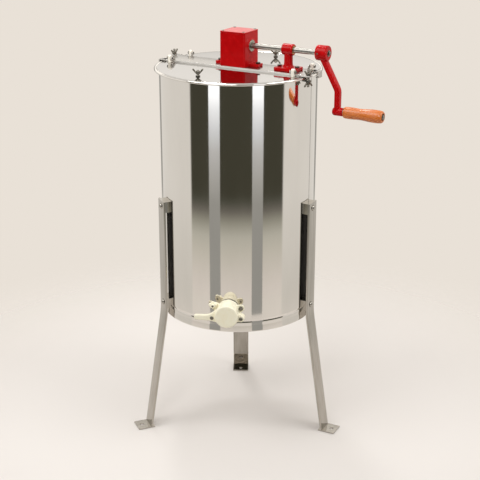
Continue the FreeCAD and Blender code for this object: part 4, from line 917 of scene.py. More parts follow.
@dataclass
class Crossbar:
    """Folded bar over the drum, with its clamps."""

    width: float = 67.0
    sheet: float = 2.5
    fold: float = 0.9
    reach: float = 190.0
    deep_reach: float = 176.0
    side_depth: float = 25.0
    clamp_reach: float = 200.7
    tongue: float = 32.0
    hook_face: float = 196.3
    hook_depth: float = 16.0
    hinge_height: float = 900.5
    hinge_radius: float = 3.4
    hinge_ears: tuple = ((156.5, -1), (-158.5, -1), (165.0, 1), (-150.0, 1))
    rod_foot: float = 868.5
    rod_length: float = 39.0
    lower_seat: float = 880.7
    nuts: tuple = (("right", 1, 70.0), ("left", -1, 84.0))

    @property
    def clamp_x(self) -> float:
        """Distance of a clamp rod from the bar's middle, along the bar."""
        return math.sqrt(self.clamp_reach ** 2 - self.tongue ** 2)

    def channel(self, low: float, high: float, depth: float) -> Surface:
        """Folded section carried along the bar.

        Args:
            low: where it starts.
            high: where it ends.
            depth: how far its sides reach down.

        Returns:
            The closed surface.
        """
        half, inside, foot = self.width / 2, self.width / 2 - self.sheet, -depth - 0.01
        side = [(half, 0), (half, foot), (inside, foot), (inside, -self.sheet)]
        mirrored = [(-x, z) for x, z in reversed(side)]
        section = softened(mirrored + side, self.fold, 5) + (0, BAR_TOP)
        return sweep([(low, 0, 0), (high, 0, 0)], section, (0, -1, 0))

    def ends(self) -> list[Surface]:
        """Clamp tongue and hook at each end, the second pair turned half round.

        Returns:
            The four surfaces.
        """
        root, face, sheet = self.reach - 9, self.hook_face, self.sheet
        tongue = np.vstack([[(root, -23.0), (root, -41.0)],
                            circle(9.0, 14, (self.clamp_x, -self.tongue), -90, 90)])
        lip, toe = face - 6.5, -self.hook_depth
        bend = softened([(root, -sheet), (root, 0), (face + sheet, 0), (face + sheet, toe), (lip, toe),
                         (lip, toe + 2), (face, toe + 2), (face, -sheet)],
                        [0.1, 0.1, 2.4, 1.5, 0.2, 0.2, 0.8, 0.8], 5)
        hook = sweep([(0, 22.0, BAR_TOP), (0, 36.0, BAR_TOP)], bend, (1, 0, 0))
        parts = [slab(tongue, BAR_TOP - sheet + 0.02, BAR_TOP - 0.02, 0.4), hook]
        return parts + [part.placed(turned(180)) for part in parts]

    def ears(self) -> list[Surface]:
        """Upright plates that carry the lids' hinge pins.

        Returns:
            The four plates.
        """
        half, inner, radius = self.width / 2, self.width / 2 - 6, self.hinge_radius
        far, low, high = HINGE_REACH + radius, self.hinge_height - radius, self.hinge_height + radius
        profile = softened([(inner, BAR_TOP - 0.4), (half, BAR_TOP - 0.4), (far, low), (far, high),
                            (HINGE_REACH - 4, high), (inner, BAR_TOP + 3)], [0.2, 0.8, 1.2, 3.0, 3.0, 1.5], 5)
        return [slab(profile * (side, 1), 0.0, 2.0, 0.3).placed(along_x(x, 0, 0))
                for x, side in self.hinge_ears]

    def build(self) -> None:
        """Makes the bar, its rods and its wing nuts."""
        deep, reach, shallow = self.deep_reach, self.reach, BAR_TOP - RIM_TOP
        surface = joined(self.channel(-deep, deep, self.side_depth), self.channel(-reach, -deep, shallow),
                         self.channel(deep, reach, shallow), *self.ends(), *self.ears())
        bar = make("folded_crossbar", surface, BAR_SHEET, "polished_steel", "crossbar")
        # The bar's sides get a paler copy of its sheet: painted light, besides the press's dull finish.
        second_finish(bar, BAR_SIDE_PAINTED_LIGHT, lambda normal, middle: np.abs(normal[:, 1]) > 0.7)
        foot = upright(self.clamp_x, -self.tongue, self.rod_foot)
        rod = threaded_rod(Thread.M6, self.rod_length).placed(foot)
        rods = joined(rod, rod.placed(turned(180)))
        make("threaded_clamp_rods", rods, ZINC, "fastener_steel", "clamp_rods")
        for name, side, azimuth in self.nuts:
            x, y = side * self.clamp_x, -side * self.tongue
            WingNut().build(f"upper_clamp_wing_nut_{name}", upright(x, y, BAR_TOP + 0.3, azimuth),
                            f"clamp_nut_{name}")
            WingNut().build(f"lower_clamp_wing_nut_{name}", upright(x, y, self.lower_seat, azimuth, -1),
                            f"jaw_nut_{name}")
        dressed(ZINC, "clamp_jaws", "hinge_pins")


@dataclass
class Lids:
    """Half lids with their nylon hinge lugs, fixed nuts and wing nuts."""

    sheet: float = 0.8
    lug_width: float = 8.0
    lug_depth: float = 8.4
    lug_height: float = 17.4
    lugs: tuple = (("front_lid", -1, (-164.0, 164.0)), ("rear_lid", 1, (-155.5, 172.5)))
    knob: tuple = (20.0, 146.0)
    knob_azimuth: float = 30.0

    def lug(self, x: float, side: int) -> Surface:
        """Nylon lug: a tombstone outline, as thick as the lug is wide.

        Args:
            x: its middle along the bar.
            side: -1 for the front lid, 1 for the rear lid.

        Returns:
            The closed surface.
        """
        half = self.lug_depth / 2
        outline = np.vstack([[(-half, LID_TOP), (half, LID_TOP)],
                             circle(half, 16, (0, LID_TOP + self.lug_height - half), 0, 180)])
        return slab(outline + (side * HINGE_REACH, 0), 0.0, self.lug_width, 1.0).placed(
            along_x(x - self.lug_width / 2, 0, 0))

    def build(self) -> None:
        """Makes both lids' fittings and dresses their plates."""
        for lid, side, places in self.lugs:
            # The lids' sheet is painted darker than the drum's: painted shade on the flat top.
            dressed(LID_SHEET_PAINTED_DARKER, lid)
            make(f"{lid}_hinge_lugs", joined(*(self.lug(x, side) for x in places)), NYLON, "nylon_white",
                 f"{lid}_lugs", body=lid)
            x, y = side * self.knob[0], side * self.knob[1]
            stud = joined(hexagon_head(10.0, 2.6, 2.9).placed(upright(x, y, LID_TOP)),
                          threaded_rod(Thread.M6, 15.0).placed(upright(x, y, LID_TOP - 0.4)),
                          hexagon_head(10.0, 4.0).placed(upright(x, y, LID_TOP - self.sheet, up=-1)))
            make(f"{lid}_stud", stud, ZINC, "fastener_steel", f"{lid}_screw", body=lid)
            WingNut().build(f"{lid}_wing_nut", upright(x, y, LID_TOP + 6.0, self.knob_azimuth), f"{lid}_nut")


@dataclass
class Gearbox:
    """Cast housing with its two ears, flat cover, screws and plated bearing ring."""

    middle: float = 1.8
    length: float = 66.0
    width: float = 65.0
    height: float = 75.8
    wall: float = 6.0
    side_wall: float = 5.0
    floor: float = 8.0
    ear_reach: float = 24.0
    ear_width: float = 26.0
    ear_height: float = 6.5
    ear_bolt: float = 6.5             # from the ear's end
    cover: float = 4.5
    bracket_bolts: tuple = (108.5, 153.5)
    bracket_base: float = 7.0
    shaft_bore: float = 9.6
    rotor_bore: float = 10.6

    @property
    def plan(self) -> tuple[float, float, float]:
        """Left and right end and half the width of the box."""
        return self.middle - self.length / 2, self.middle + self.length / 2, self.width / 2

    def housing(self) -> None:
        """Box, ears and shaft boss melted together, then hollowed and bored."""
        low, high, half = self.plan
        top, floor, side = BAR_TOP + self.height, BAR_TOP + self.floor, half - self.side_wall
        ear, reach = self.ear_width / 2, self.ear_reach
        shell = slab(softened(rectangle(low, high, -half, half), 4.0, 7), BAR_TOP, top, 0.3)
        ears = slab(softened(rectangle(low - reach, high + reach, -ear, ear), 3.5, 6), BAR_TOP,
                    BAR_TOP + self.ear_height, 0.8)
        boss = lathe([(0, 0), (17.0, 0), (16.2, 3.1), (0, 3.1)], 48)
        boss = boss.placed(along_x(high - 2.3, 0, SHAFT_HEIGHT))
        room = slab(softened(rectangle(low + self.wall, high - self.wall, -side, side), 5.0, 6), floor,
                    top + 3, 0.3)
        shaft = plug(self.shaft_bore, 0.0, self.length + 10).placed(along_x(low + 2.5, 0, SHAFT_HEIGHT))
        make("gearbox_casting", joined(shell, ears, boss), RED_ENAMEL, "red_paint", "gearbox_housing",
             melt=(0.7, 3), holes=(room, shaft, plug(self.rotor_bore, BAR_TOP - 3, floor + 3)),
             crease=CASTING_CREASE)

    def lid(self) -> None:
        """Flat cover with softly rounded edges, a hair wider than the joint line under it, and its screws."""
        low, high, half = self.plan
        start, top = BAR_TOP + self.height, BAR_TOP + self.height + self.cover
        outline = softened(rectangle(low, high, -half, half), 3.5, 6)
        joint = slab(outline * 0.985, start, start + 0.5, 0.1)
        plate = slab(outline, start + 0.35, top, 1.1, 6)
        cover = make("gearbox_cover_casting", joined(joint, plate), RED_ENAMEL, "red_paint", "gearbox_cover")
        # The cover's top gets the chalk, with a painted sheen for the bright room reflected in it.
        second_finish(cover, CHALK_AND_SHEEN_ENAMEL, lambda normal, middle: normal[:, 2] > 0.8)
        head = lathe([(0, 0), (3.3, 0), (3.5, 0.3), (3.1, 1.05), (2.2, 1.28), (1.3, 1.28), (1.2, 0.5),
                      (0, 0.5)], 24)
        heads = [head.placed(upright(x, y, top - 0.1))
                 for x in (low + 6, high - 6) for y in (-half + 6, half - 6)]
        make("cover_socket_screws", joined(*heads), ZINC, "fastener_steel", "cover_screws")

    def bolts(self) -> None:
        """Hexagon bolts of the ears and of the bracket, with nuts under the bar."""
        ear = self.length / 2 + self.ear_reach - self.ear_bolt
        seats = [(self.middle - ear, self.ear_height), (self.middle + ear, self.ear_height)]
        parts: list[Surface] = []
        for x, seat in seats + [(x, self.bracket_base) for x in self.bracket_bolts]:
            below = upright(x, 0, BAR_TOP - 2.5, up=-1)
            parts += [hexagon_head(10.0, 4.0).placed(upright(x, 0, BAR_TOP + seat)),
                      hexagon_head(10.0, 5.0, 2.9).placed(below), threaded_rod(Thread.M6, 7.0).placed(below)]
        make("hexagon_bar_bolts", joined(*parts), ZINC, "fastener_steel", "foot_bolts")

    def bearing(self) -> None:
        """Plated flange round the crank shaft, and the sleeve of the blind end."""
        low, high, _ = self.plan
        bore, outer = 6.56, 9.55
        flange = softened([(bore, -6.0), (outer, -6.0), (outer, 0.85), (13.4, 0.85), (13.4, 2.0), (7.6, 2.0),
                           (bore, 1.2)], [0.1, 0.1, 0.1, 0.3, 0.6, 0.4, 0.3], 4)
        surface = joined(lathe(flange, 64, closed=True).placed(along_x(high, 0, SHAFT_HEIGHT)),
                         washer(bore, outer, 0, 3.4, 0.2).placed(along_x(low + 2.6, 0, SHAFT_HEIGHT)))
        make("crank_bearing_rings", surface, PLATED_RING, "bearing_metal", "crank_bushes")

    def build(self) -> None:
        """Makes the gearbox's pieces and dresses what is inside."""
        self.housing()
        self.lid()
        self.bolts()
        self.bearing()
        dressed(GEAR_IRON, "crank_gear", "rotor_pinion")
        dressed(ZINC, "crank_gear_pin", "pinion_pin")
        dressed(BRONZE, "rotor_bush", "support_bush")


@dataclass
class Bracket:
    """Cast stand of the crank shaft: base, round column with swept feet, and hub."""

    x: float = 131.0
    length: float = 58.0
    width: float = 40.0
    thickness: float = 7.0
    column: float = 10.0
    hub: float = 12.8
    hub_length: float = 26.8
    bore: float = 9.6

    def build(self) -> None:
        """Melts base, column and hub into one casting and bores it."""
        half, across, thick = self.length / 2, self.width / 2, self.column
        base = slab(softened(rectangle(self.x - half, self.x + half, -across, across), 6.0, 7), BAR_TOP,
                    BAR_TOP + self.thickness, 1.0)
        column = lathe([(0, 0), (thick + 4.2, 0), (thick + 1.9, 2.4), (thick + 0.6, 5.5), (thick, 10.0),
                        (thick - 0.2, 24.0), (thick + 0.3, 36.0), (0, 37.0)], 48)
        column = column.placed(upright(self.x, 0, BAR_TOP + self.thickness - 0.5))
        hub = roller(self.hub, self.hub_length, 1.8, 5, 64).placed(
            along_x(self.x - self.hub_length / 2, 0, SHAFT_HEIGHT))
        bore = plug(self.bore, 0.0, 60.0, 48).placed(along_x(self.x - 30, 0, SHAFT_HEIGHT))
        make("shaft_bracket_casting", joined(base, column, hub), RED_ENAMEL, "red_paint", "support_bracket",
             melt=(0.6, 3), holes=(bore,), crease=CASTING_CREASE)


@dataclass
class Crank:
    """Shaft, cast crank arm, and the wooden handle on its bolt."""

    shaft_ends: tuple = (-28.2, 228.0)
    shaft_radius: float = 6.5
    hub_x: float = 217.25
    hub_radius: float = 17.25
    hub_length: float = 27.5
    offset: float = 39.55
    bend: float = 861.0
    bend_radius: float = 6.5
    throw: float = 128.3
    arm_width: float = 18.0
    arm_thickness: float = 13.0
    arm_edge: float = 5.6
    elbow_radius: float = 9.5
    elbow_back: float = 11.3
    elbow_front: float = 15.4
    collar: float = 2.0
    handle_length: float = 93.3
    handle_bore: float = 5.06
    recess: float = 8.5
    radii: tuple = (12.9, 13.45, 12.6, 13.4, 14.4, 14.75, 13.7)
    stations: tuple = (2.5, 14.5, 39.0, 52.0, 64.0, 76.0, 89.3)
    end_slopes: tuple = (0.14, -0.2)

    @property
    def grip_height(self) -> float:
        """Height of the handle's axis."""
        return SHAFT_HEIGHT - self.throw

    def rod(self) -> None:
        """Ground shaft with chamfered ends."""
        radius, length = self.shaft_radius, self.shaft_ends[1] - self.shaft_ends[0]
        along = [(radius, height) for height in np.linspace(20, length - 20, 12)]
        profile = [(0, 0), (radius - 0.8, 0), (radius, 0.8), *along, (radius, length - 0.8),
                   (radius - 0.8, length), (0, length)]
        surface = lathe(profile, 64).placed(along_x(self.shaft_ends[0], 0, SHAFT_HEIGHT))
        make("ground_crank_shaft", surface, GROUND_SHAFT, "shaft_steel", "crank_shaft", body="crank")

    def arm_line(self) -> np.ndarray:
        """Middle line of the arm: out from the hub, round the bend and down to the elbow.

        Returns:
            The line, n x 3.
        """
        low_x, grip, start = self.hub_x + self.offset, self.grip_height, SHAFT_HEIGHT - 9
        line = softened([(self.hub_x, start), (low_x, self.bend), (low_x, grip + 2), (self.hub_x, grip)],
                        [SHARP, self.bend_radius, SHARP, SHARP], 14)
        x, z = line.T
        line = line[(z > grip + 1.0) & ((x > self.hub_x + 0.05) | (z > start - 0.5))]
        return np.stack([line[:, 0], np.zeros(len(line)), line[:, 1]], axis=1)

    def arm(self) -> None:
        """Hub, bent arm of rounded section and elbow, melted into one casting and bored."""
        hub = roller(self.hub_radius, self.hub_length, 2.2, 6, 72).placed(
            along_x(self.hub_x - self.hub_length / 2, 0, SHAFT_HEIGHT))
        half, thick = self.arm_width / 2, self.arm_thickness / 2
        section = softened(rectangle(-half, half, -thick, thick), self.arm_edge, 6)
        arm = sweep(self.arm_line(), section, (0, 1, 0))
        length, radius = self.elbow_back + self.elbow_front, self.elbow_radius
        elbow = lathe([(0, 0), (5.2, 0.2), (7.9, 1.4), (9.1, 3.3), (radius, 6.0), (radius, length - 0.9),
                       (8.9, length), (0, length)], 56)
        elbow = elbow.placed(along_x(self.hub_x + self.offset - self.elbow_back, 0, self.grip_height))
        bore = plug(self.shaft_radius + 0.02, 0.0, 60.0, 48).placed(along_x(self.hub_x - 30, 0, SHAFT_HEIGHT))
        make("crank_arm_casting", joined(hub, arm, elbow), RED_ENAMEL, "red_paint", "crank_arm", body="crank",
             melt=(0.75, 6), holes=(bore,), crease=CASTING_CREASE)

    def screws(self) -> None:
        """End screw with its washer, and the set screw in the hub's side."""
        face = self.hub_x + self.hub_length / 2
        end = joined(washer(2.9, 7.4, 0, 1.0, 0.25, 3, 40).placed(along_x(face, 0, SHAFT_HEIGHT)),
                     hexagon_head(8.0, 3.0).placed(along_x(face + 1.0, 0, SHAFT_HEIGHT)))
        make("crank_end_screw_and_washer", end, ZINC, "fastener_steel", "crank_end_screw", body="crank")
        cup = lathe([(0, 0), (2.4, 0), (2.4, 8.6), (2.0, 9.0), (1.3, 9.0), (1.2, 7.2), (0, 7.2)], 24)
        place = frame_at((self.hub_x - self.hub_length / 2 + 7.0, -9.0, SHAFT_HEIGHT), (1, 0, 0), (0, 0, 1))
        make("crank_set_screw_socket", cup.placed(place), ZINC, "fastener_steel", "crank_set_screw",
             body="crank")

    def swell(self, x: np.ndarray) -> np.ndarray:
        """Radius of the grip: the cubic through the radii at the stations, with their mean slopes (Hermite).

        Args:
            x: distances from the grip's inner end.

        Returns:
            The radius at each distance.
        """
        stations, radii = np.array(self.stations), np.array(self.radii)
        slope = np.gradient(radii, stations)
        slope[[0, -1]] = self.end_slopes
        place = np.clip(np.searchsorted(stations, x) - 1, 0, len(stations) - 2)
        width = np.diff(stations)[place]
        t = (x - stations[place]) / width
        rise = 3 * t ** 2 - 2 * t ** 3
        leave, arrive = (t ** 3 - 2 * t ** 2 + t) * width, (t ** 3 - t ** 2) * width
        return ((1 - rise) * radii[place] + rise * radii[place + 1] + leave * slope[place]
                + arrive * slope[place + 1])

    def handle(self) -> None:
        """Turned grip with a recess in its end, and the nut in the recess."""
        start, end = self.hub_x + self.offset + self.elbow_front + self.collar, self.handle_length
        x = np.linspace(2.5, end - 4.0, 44)
        radius = self.swell(x)
        first, last, bore, recess = radius[0], radius[-1], self.handle_bore, self.recess
        profile = np.vstack([
            [(bore, 0), (first - 2.4, 0), (first - 1.0, 0.5), (first - 0.25, 1.4)],
            np.stack([radius, x], axis=1),
            [(last - 0.5, end - 2.2), (last - 1.8, end - 0.6), (last - 3.0, end), (recess + 0.4, end),
             (recess, end - 0.5), (recess, end - 5.0), (bore, end - 5.0)]])
        grip = lathe(profile, 72, closed=True).placed(along_x(start, 0, self.grip_height))
        make("turned_handle", grip, VARNISHED_BEECH, "varnished_wood", "wooden_handle", body="grip",
             crease=TURNED_CREASE)
        nut = hexagon_head(12.0, 6.0, 3.9).placed(along_x(start + end - 4.7, 0, self.grip_height))
        make("handle_lock_nut", nut, NICKEL, "fastener_steel", "handle_end_nut", body="crank")
        dressed(ZINC, "handle_bolt")
        dressed(BRONZE, "handle_bush")

    def build(self) -> None:
        """Makes the crank's pieces."""
        self.rod()
        self.arm()
        self.screws()
        self.handle()


@dataclass
class HoneyGate:
    """Moulded gate in its own frame: spigot body, flap with its lever, screws and wing nut."""

    face: float = 212.5
    bore: float = 19.0
    thread: float = 23.0
    thread_ends: tuple = (169.5, 184.0)
    thread_turns: int = 16
    plate: float = 12.0
    cap: float = 27.5
    cap_height: float = 18.0
    flap_gap: float = 0.3
    flap_plate: float = 8.0
    pivot: tuple = (32.5, -6.5)
    latch: tuple = (-35.0, -7.5)
    stud: tuple = (-34.2, 17.6)
    side: tuple = (31.0, 13.5)
    lobe: tuple = (1.0, 12.5)
    lobe_radius: float = 16.0
    ear: float = 8.5
    lever_end: float = -76.8

    def tab(self, centre: tuple, low: float, high: float, root: float = 20.5) -> Surface:
        """Ear round a screw: its half circle and a chord of the body.

        Args:
            centre: place of the screw.
            low: height of the underside.
            high: height of the top.
            root: distance of the chord from the middle.

        Returns:
            The closed surface.
        """
        turn, reach = math.atan2(centre[1], centre[0]), math.hypot(*centre)
        outline = np.vstack([circle(self.ear, 18, (reach, 0), -90, 90),
                             [(root, self.ear + 4), (root, -self.ear - 4)]])
        spin = np.array([(math.cos(turn), math.sin(turn)), (-math.sin(turn), math.cos(turn))])
        return slab(outline @ spin, low, high, 1.2)

    def body(self) -> None:
        """Body: threaded tube, collar, valve face, three ears and the lobe above the tube."""
        face, bore, thread, low = self.face, self.bore, self.thread, self.face - self.plate
        height = np.linspace(*self.thread_ends, self.thread_turns * 4)
        ridge = thread - 0.5 * (1 - np.cos(ROUND * np.arange(len(height)) / 4))
        tube = np.vstack([[(bore, 169.0), (thread - 1.2, 169.0)], np.stack([ridge, height], axis=1),
                          [(thread, 184.5), (thread, face - 1), (bore + 0.6, face), (bore, face - 0.6)]])
        collar = washer(bore + 1, 27.0, 187.8, low + 1, [0.1, 0.8, 0.8, 0.1], 4, 64)
        plate = washer(bore, self.cap, low, face, [0.1, 1.5, 0.8, 0.3], 4, 64)
        arch = np.vstack([circle(self.lobe_radius, 30, self.lobe, 8, 172), [(-15.0, 14.0), (15.0, 14.0)]])
        shape = joined(lathe(tube, 64, closed=True), collar, plate,
                       self.tab(self.pivot, face - 8, face - 0.1), self.tab(self.side, low, low + 4),
                       self.tab(self.stud, low, low + 4), slab(arch, 189.0, face - 5.0, 2.0))
        make("honey_gate_body", shape.placed(facing_gate()), IVORY_PLASTIC, "gate_plastic", "gate_body",
             melt=(0.7, 3), crease=MOULDED_CREASE)

    def flap(self) -> None:
        """Flap: a cap with a rounded rim, pivot ear, and tapering lever with grips, melted into one."""
        low, radius, y, end = self.face + self.flap_gap, self.cap, self.latch[1], self.lever_end
        top, face = low + self.cap_height, low + self.flap_plate
        cap = lathe([(0, low), (radius - 0.4, low), (radius, low + 0.5), (radius, top - 4.0),
                     (radius - 0.4, top - 2.0), (radius - 1.6, top - 0.6), (radius - 3.4, top),
                     (radius - 12.0, top), (0, top)], 96)
        outline = [(end, y - 6.1), (end, y + 6.2), (-58.0, y + 6.8), (-41.0, y + 7.7), (-20.0, 17.0),
                   (-20.0, -19.5), (-39.0, y - 7.5), (-58.0, y - 6.8)]
        lever = slab(softened(outline, [4.5, 4.5, 6.0, 9.0, 2.0, 2.0, 9.0, 6.0], 7), low, face, 2.4, 6)
        grips = [slab(softened(rectangle(x, x + 1.4, y - 3.8, y + 3.8), 0.5, 3), low + 7.0, face, 0.3)
                 for x in (-72.0, -67.0, -62.0)]
        shape = joined(cap, self.tab(self.pivot, low, face, 18.0), lever, *grips)
        make("honey_gate_flap", shape.placed(facing_gate()), IVORY_PLASTIC, "gate_plastic", "gate_flap",
             body="gate_flap", melt=(0.65, 4), crease=MOULDED_CREASE)

    def screws(self) -> None:
        """Pivot screw, latch bolt, the side nut, and the wing nut on its stud."""
        seat, low = self.face + self.flap_gap + self.flap_plate, self.face - self.plate
        head, nut = dome(9.0, 3.0), hexagon_head(9.0, 5.0, 2.4)
        for name, node, body, centre, parts in (
                ("gate_pivot_dome_screw", "gate_pivot_screw", "stand", self.pivot,
                 [(head, seat + 0.3), (threaded_rod(Thread.M5, 12.0), seat - 11.6)]),
                ("gate_latch_dome_bolt", "gate_latch_bolt", "gate_flap", self.latch,
                 [(head, seat), (threaded_rod(Thread.M5, 8.0), seat - 8.0)]),
                ("gate_side_hexagon_nut", "gate_side_nut", "stand", self.side,
                 [(nut, low + 4), (threaded_rod(Thread.M5, 14.0), low - 3)]),
                ("gate_wing_nut_stud", "gate_stud", "stand", self.stud,
                 [(threaded_rod(Thread.M5, 14.5), low - 3)])):
            surface = joined(*(part.placed(facing_gate() @ upright(*centre, z)) for part, z in parts))
            make(name, surface, ZINC, "fastener_steel", node, body=body)
        hub = lathe([(2.55, 0), (4.6, 0), (4.8, 0.5), (4.6, 6.4), (4.0, 7.0), (2.55, 7.0)], 32, closed=True)
        ears = [slab(circle(4.0, 24, (6.4 * math.cos(a), 6.4 * math.sin(a))), 0.0, 6.0, 1.6, 5)
                for a in (math.radians(25), math.radians(155))]
        surface = joined(hub, *ears).placed(facing_gate() @ upright(*self.stud, low + 4.3))
        make("gate_plastic_wing_nut", surface, IVORY_PLASTIC, "gate_plastic", "gate_wing_nut",
             body="gate_wing_nut", melt=(0.4, 3), crease=MOULDED_CREASE)

    def build(self) -> None:
        """Makes the gate and dresses what holds it."""
        self.body()
        self.flap()
        self.screws()
        dressed(IVORY_PLASTIC, "gate_lock_nut")
        dressed(RUBBER, "gate_gaskets")


@dataclass
class Rotor:
    """Basket on its shaft inside the drum."""

    def build(self) -> None:
        """Dresses the rotor's own pieces."""
        dressed(GROUND_SHAFT, "rotor_shaft", "thrust_ball")
        dressed(LEG_SHEET, "basket_spiders", "basket_frames", "basket_mesh")
        dressed(BRONZE, "bottom_bearing_cup")


# ---------------------------------------------------------------- studio, in metres and degrees
@dataclass(frozen=True)
class Lamp:
    """Round soft lamp that looks at the drum."""

    name: str
    place: tuple[float, float, float]
    size: float
    power: float


WARM, COOL = (1.0, 0.99, 0.93), (1.0, 1.03, 1.08)
BLACK, WHITE = (0, 0, 0, 1), (1, 1, 1, 1)


@dataclass
class Studio:
    """Pale floor, soft lamps, the room that polished steel shows, and the camera."""

    floor_colour: str = "#e0dbd7"
    backdrop: str = "#e9e1d7"
    ceiling: tuple = (0.72, 0.70, 0.67, 1.0)
    pale: tuple = (0.83, 0.80, 0.755, 1.0)
    near_pale: tuple = (0.71, 0.68, 0.63, 1)
    gloom: tuple = (0.062, 0.059, 0.042, 1.0)
    # The dim side of the room, by the angle round a point just in front of the drum's axis.
    dim_centre: float = 0.0925
    dim_edges: tuple = (-72.6, 68.1)
    dim_blur: float = 1.0
    rear_edge: float = 150.0
    rear_blur: float = 0.004          # in turns
    rear_share: float = 0.6
    screen_radius: float = 2.16
    screen_height: float = 1.9
    screen_foot: float = -0.0004
    # Lamp cloths: azimuths from the camera's, then height, level and tint of each stop.
    lamp_edges: tuple = ((-39.2, -24.1), (18.0, 32.8))
    lamp_radius: float = 0.948
    lamp_height: float = 1.3
    lamp_strength: float = 2.0
    lamp_reach: float = 0.76
    lamp_stops: tuple = ((0.0, 0.37, WARM), (0.36, 0.37, WARM), (0.425, 0.46, (1.0, 0.99, 0.95)),
                         (0.52, 0.60, (1.0, 1.0, 1.0)), (0.58, 0.78, COOL), (0.645, 1.06, COOL),
                         (0.70, 1.5, COOL))
    floor_radius: float = 2.17
    floor_level: float = -0.0005
    floor_near: float = 1.0
    floor_span: float = 1.2
    # Painted glow that gloss sees on the floor's dim side, by stop: distance from the drum's axis, and
    # colour.
    floor_stops: tuple = ((1.02, (0.82, 0.77, 0.71, 1)), (1.14, (0.80, 0.74, 0.69, 1)),
                          (1.5, (0.64, 0.61, 0.54, 1)), (1.655, (0.56, 0.545, 0.48, 1)),
                          (1.82, (0.343, 0.335, 0.279, 1)), (1.94, (0.175, 0.16, 0.14, 1)),
                          (2.06, (0.09, 0.09, 0.07, 1)))
    lamps: tuple = (Lamp("high_softbox", (-0.9, -1.5, 2.9), 1.8, 29.0),
                    Lamp("front_softbox", (0.55, -2.1, 1.75), 1.1, 31.0),
                    Lamp("right_softbox", (2.0, 0.2, 2.4), 1.6, 27.0),
                    Lamp("glint_lamp", (-1.1, 1.05, 3.0), 0.45, 15.0))
    lamp_target: tuple = (0.0, 0.0, 0.5)
    lens: float = 84.62
    sensor: float = 36.0
    camera_distance: float = 2.6078
    camera_height: float = 1.4092
    pitch: float = 20.017
    yaw: float = 0.088
    roll: float = 0.047

    def dim_side(self, tree: Tree, behind: float | Socket) -> Socket:
        """Mask of the room's dim side.

        Args:
            tree: node tree of the floor or the screen.
            behind: how dim the strip right behind the drum is, as a number or a socket.

        Returns:
            One in the dim side, nothing elsewhere.
        """
        towards = add_node(tree, "ShaderNodeMapping", {
            "Vector": object_place(tree), "Rotation": (0.0, 0.0, math.radians(-CAMERA_AZIMUTH)),
            "Location": (-self.dim_centre, 0.0, 0.0)}, vector_type="POINT").outputs[0]
        split = add_node(tree, "ShaderNodeSeparateXYZ", {"Vector": towards})
        angle = add_node(tree, "ShaderNodeMath", {0: split.outputs["Y"], 1: split.outputs["X"]},
                         operation="ARCTAN2").outputs[0]
        share = remap(tree, angle, -math.pi, math.pi)
        low, high, blur = *self.dim_edges, self.dim_blur
        sides = ((low - blur, BLACK), (low + blur, WHITE), (high - blur, WHITE), (high + blur, BLACK))
        front = ramped(tree, share, [(0.0, BLACK)] + [(edge / 360 + 0.5, colour) for edge, colour in sides])
        edge, blur = self.rear_edge / 360, self.rear_blur
        rear = ramped(tree, share, [(0.5 - edge - blur, WHITE), (0.5 - edge + blur, BLACK),
                                    (0.5 + edge - blur, BLACK), (0.5 + edge + blur, WHITE)])
        return add_node(tree, "ShaderNodeMath", {0: rear, 1: behind, 2: front},
                        operation="MULTIPLY_ADD").outputs[0]

    def cloth(self, name: str, colours: Callable[[Tree, Socket], Socket],
              strength: float) -> bpy.types.Material:
        """Glowing cloth whose light changes with height, and which isn't sampled as a lamp.

        Args:
            name: name of the material.
            colours: makes its colour from its tree and the height.
            strength: how much brighter than its colour it is.

        Returns:
            The material.
        """
        made, tree = blank_material(name)
        rise = add_node(tree, "ShaderNodeSeparateXYZ", {"Vector": object_place(tree)}).outputs["Z"]
        shader = add_node(tree, "ShaderNodeEmission", {"Color": colours(tree, rise), "Strength": strength})
        add_node(tree, "ShaderNodeOutputMaterial", {"Surface": shader.outputs[0]})
        made.cycles.emission_sampling = "NONE"
        return made

    def screen_colours(self, tree: Tree, rise: Socket) -> Socket:
        """The screen's colour: brighter above, dim on the dim side and, low down, right behind the drum.

        Args:
            tree: the cloth's node tree.
            rise: the height.

        Returns:
            The colour.
        """
        upper = remap(tree, rise, 0.95, 1.45, 1.0, 1.6)
        bright = add_node(tree, "ShaderNodeVectorMath", {0: self.pale[:3], 3: upper},
                          operation="SCALE").outputs[0]
        behind = remap(tree, rise, 1.1, 1.3, self.rear_share, 0.0)
        return mixed(tree, self.dim_side(tree, behind), bright, self.gloom)

    def lamp_colours(self, tree: Tree, rise: Socket) -> Socket:
        """The lamp cloths' colour: warm and dim below, cool and bright above.

        Args:
            tree: the cloth's node tree.
            rise: the height.

        Returns:
            The colour.
        """
        stops = [(height / self.lamp_reach, (*(level / self.lamp_strength * part for part in tint), 1.0))
                 for height, level, tint in self.lamp_stops]
        return ramped(tree, remap(tree, rise, 0.0, self.lamp_reach), stops)

    def world(self) -> None:
        """Backdrop for the camera, and a plain level for everything else."""
        world = bpy.data.worlds.new("studio")
        world.use_nodes = True
        bpy.context.scene.world = world
        tree = world.node_tree
        tree.nodes.clear()
        rays = add_node(tree, "ShaderNodeLightPath")
        colour = mixed(tree, rays.outputs["Is Camera Ray"], self.ceiling, linear(self.backdrop))
        shader = add_node(tree, "ShaderNodeBackground", {"Color": colour, "Strength": 1.0})
        add_node(tree, "ShaderNodeOutputWorld", {"Surface": shader.outputs[0]})

    def wall(self, name: str, radius: float, middle: float, spread: float, height: float,
             material: bpy.types.Material) -> bpy.types.Object:
        """Upright arc round the drum's axis: (radius, azimuth, height) on a grid.

        Args:
            name: name of the piece.
            radius: radius of the arc.
            middle: azimuth of its middle.
            spread: its whole angle.
            height: height of its top.
            material: what it is hung with.

        Returns:
            The piece, which the camera doesn't see.
        """
        line = circle(radius / MM, 97, start=middle - spread / 2, end=middle + spread / 2 - 1e-4)
        rows = [np.hstack([line, np.full((len(line), 1), z)]) for z in (self.screen_foot / MM, height / MM)]
        piece = new_mesh(name, grid(np.stack(rows)))
        piece.data.materials.append(material)
        piece.visible_camera = False
        return piece

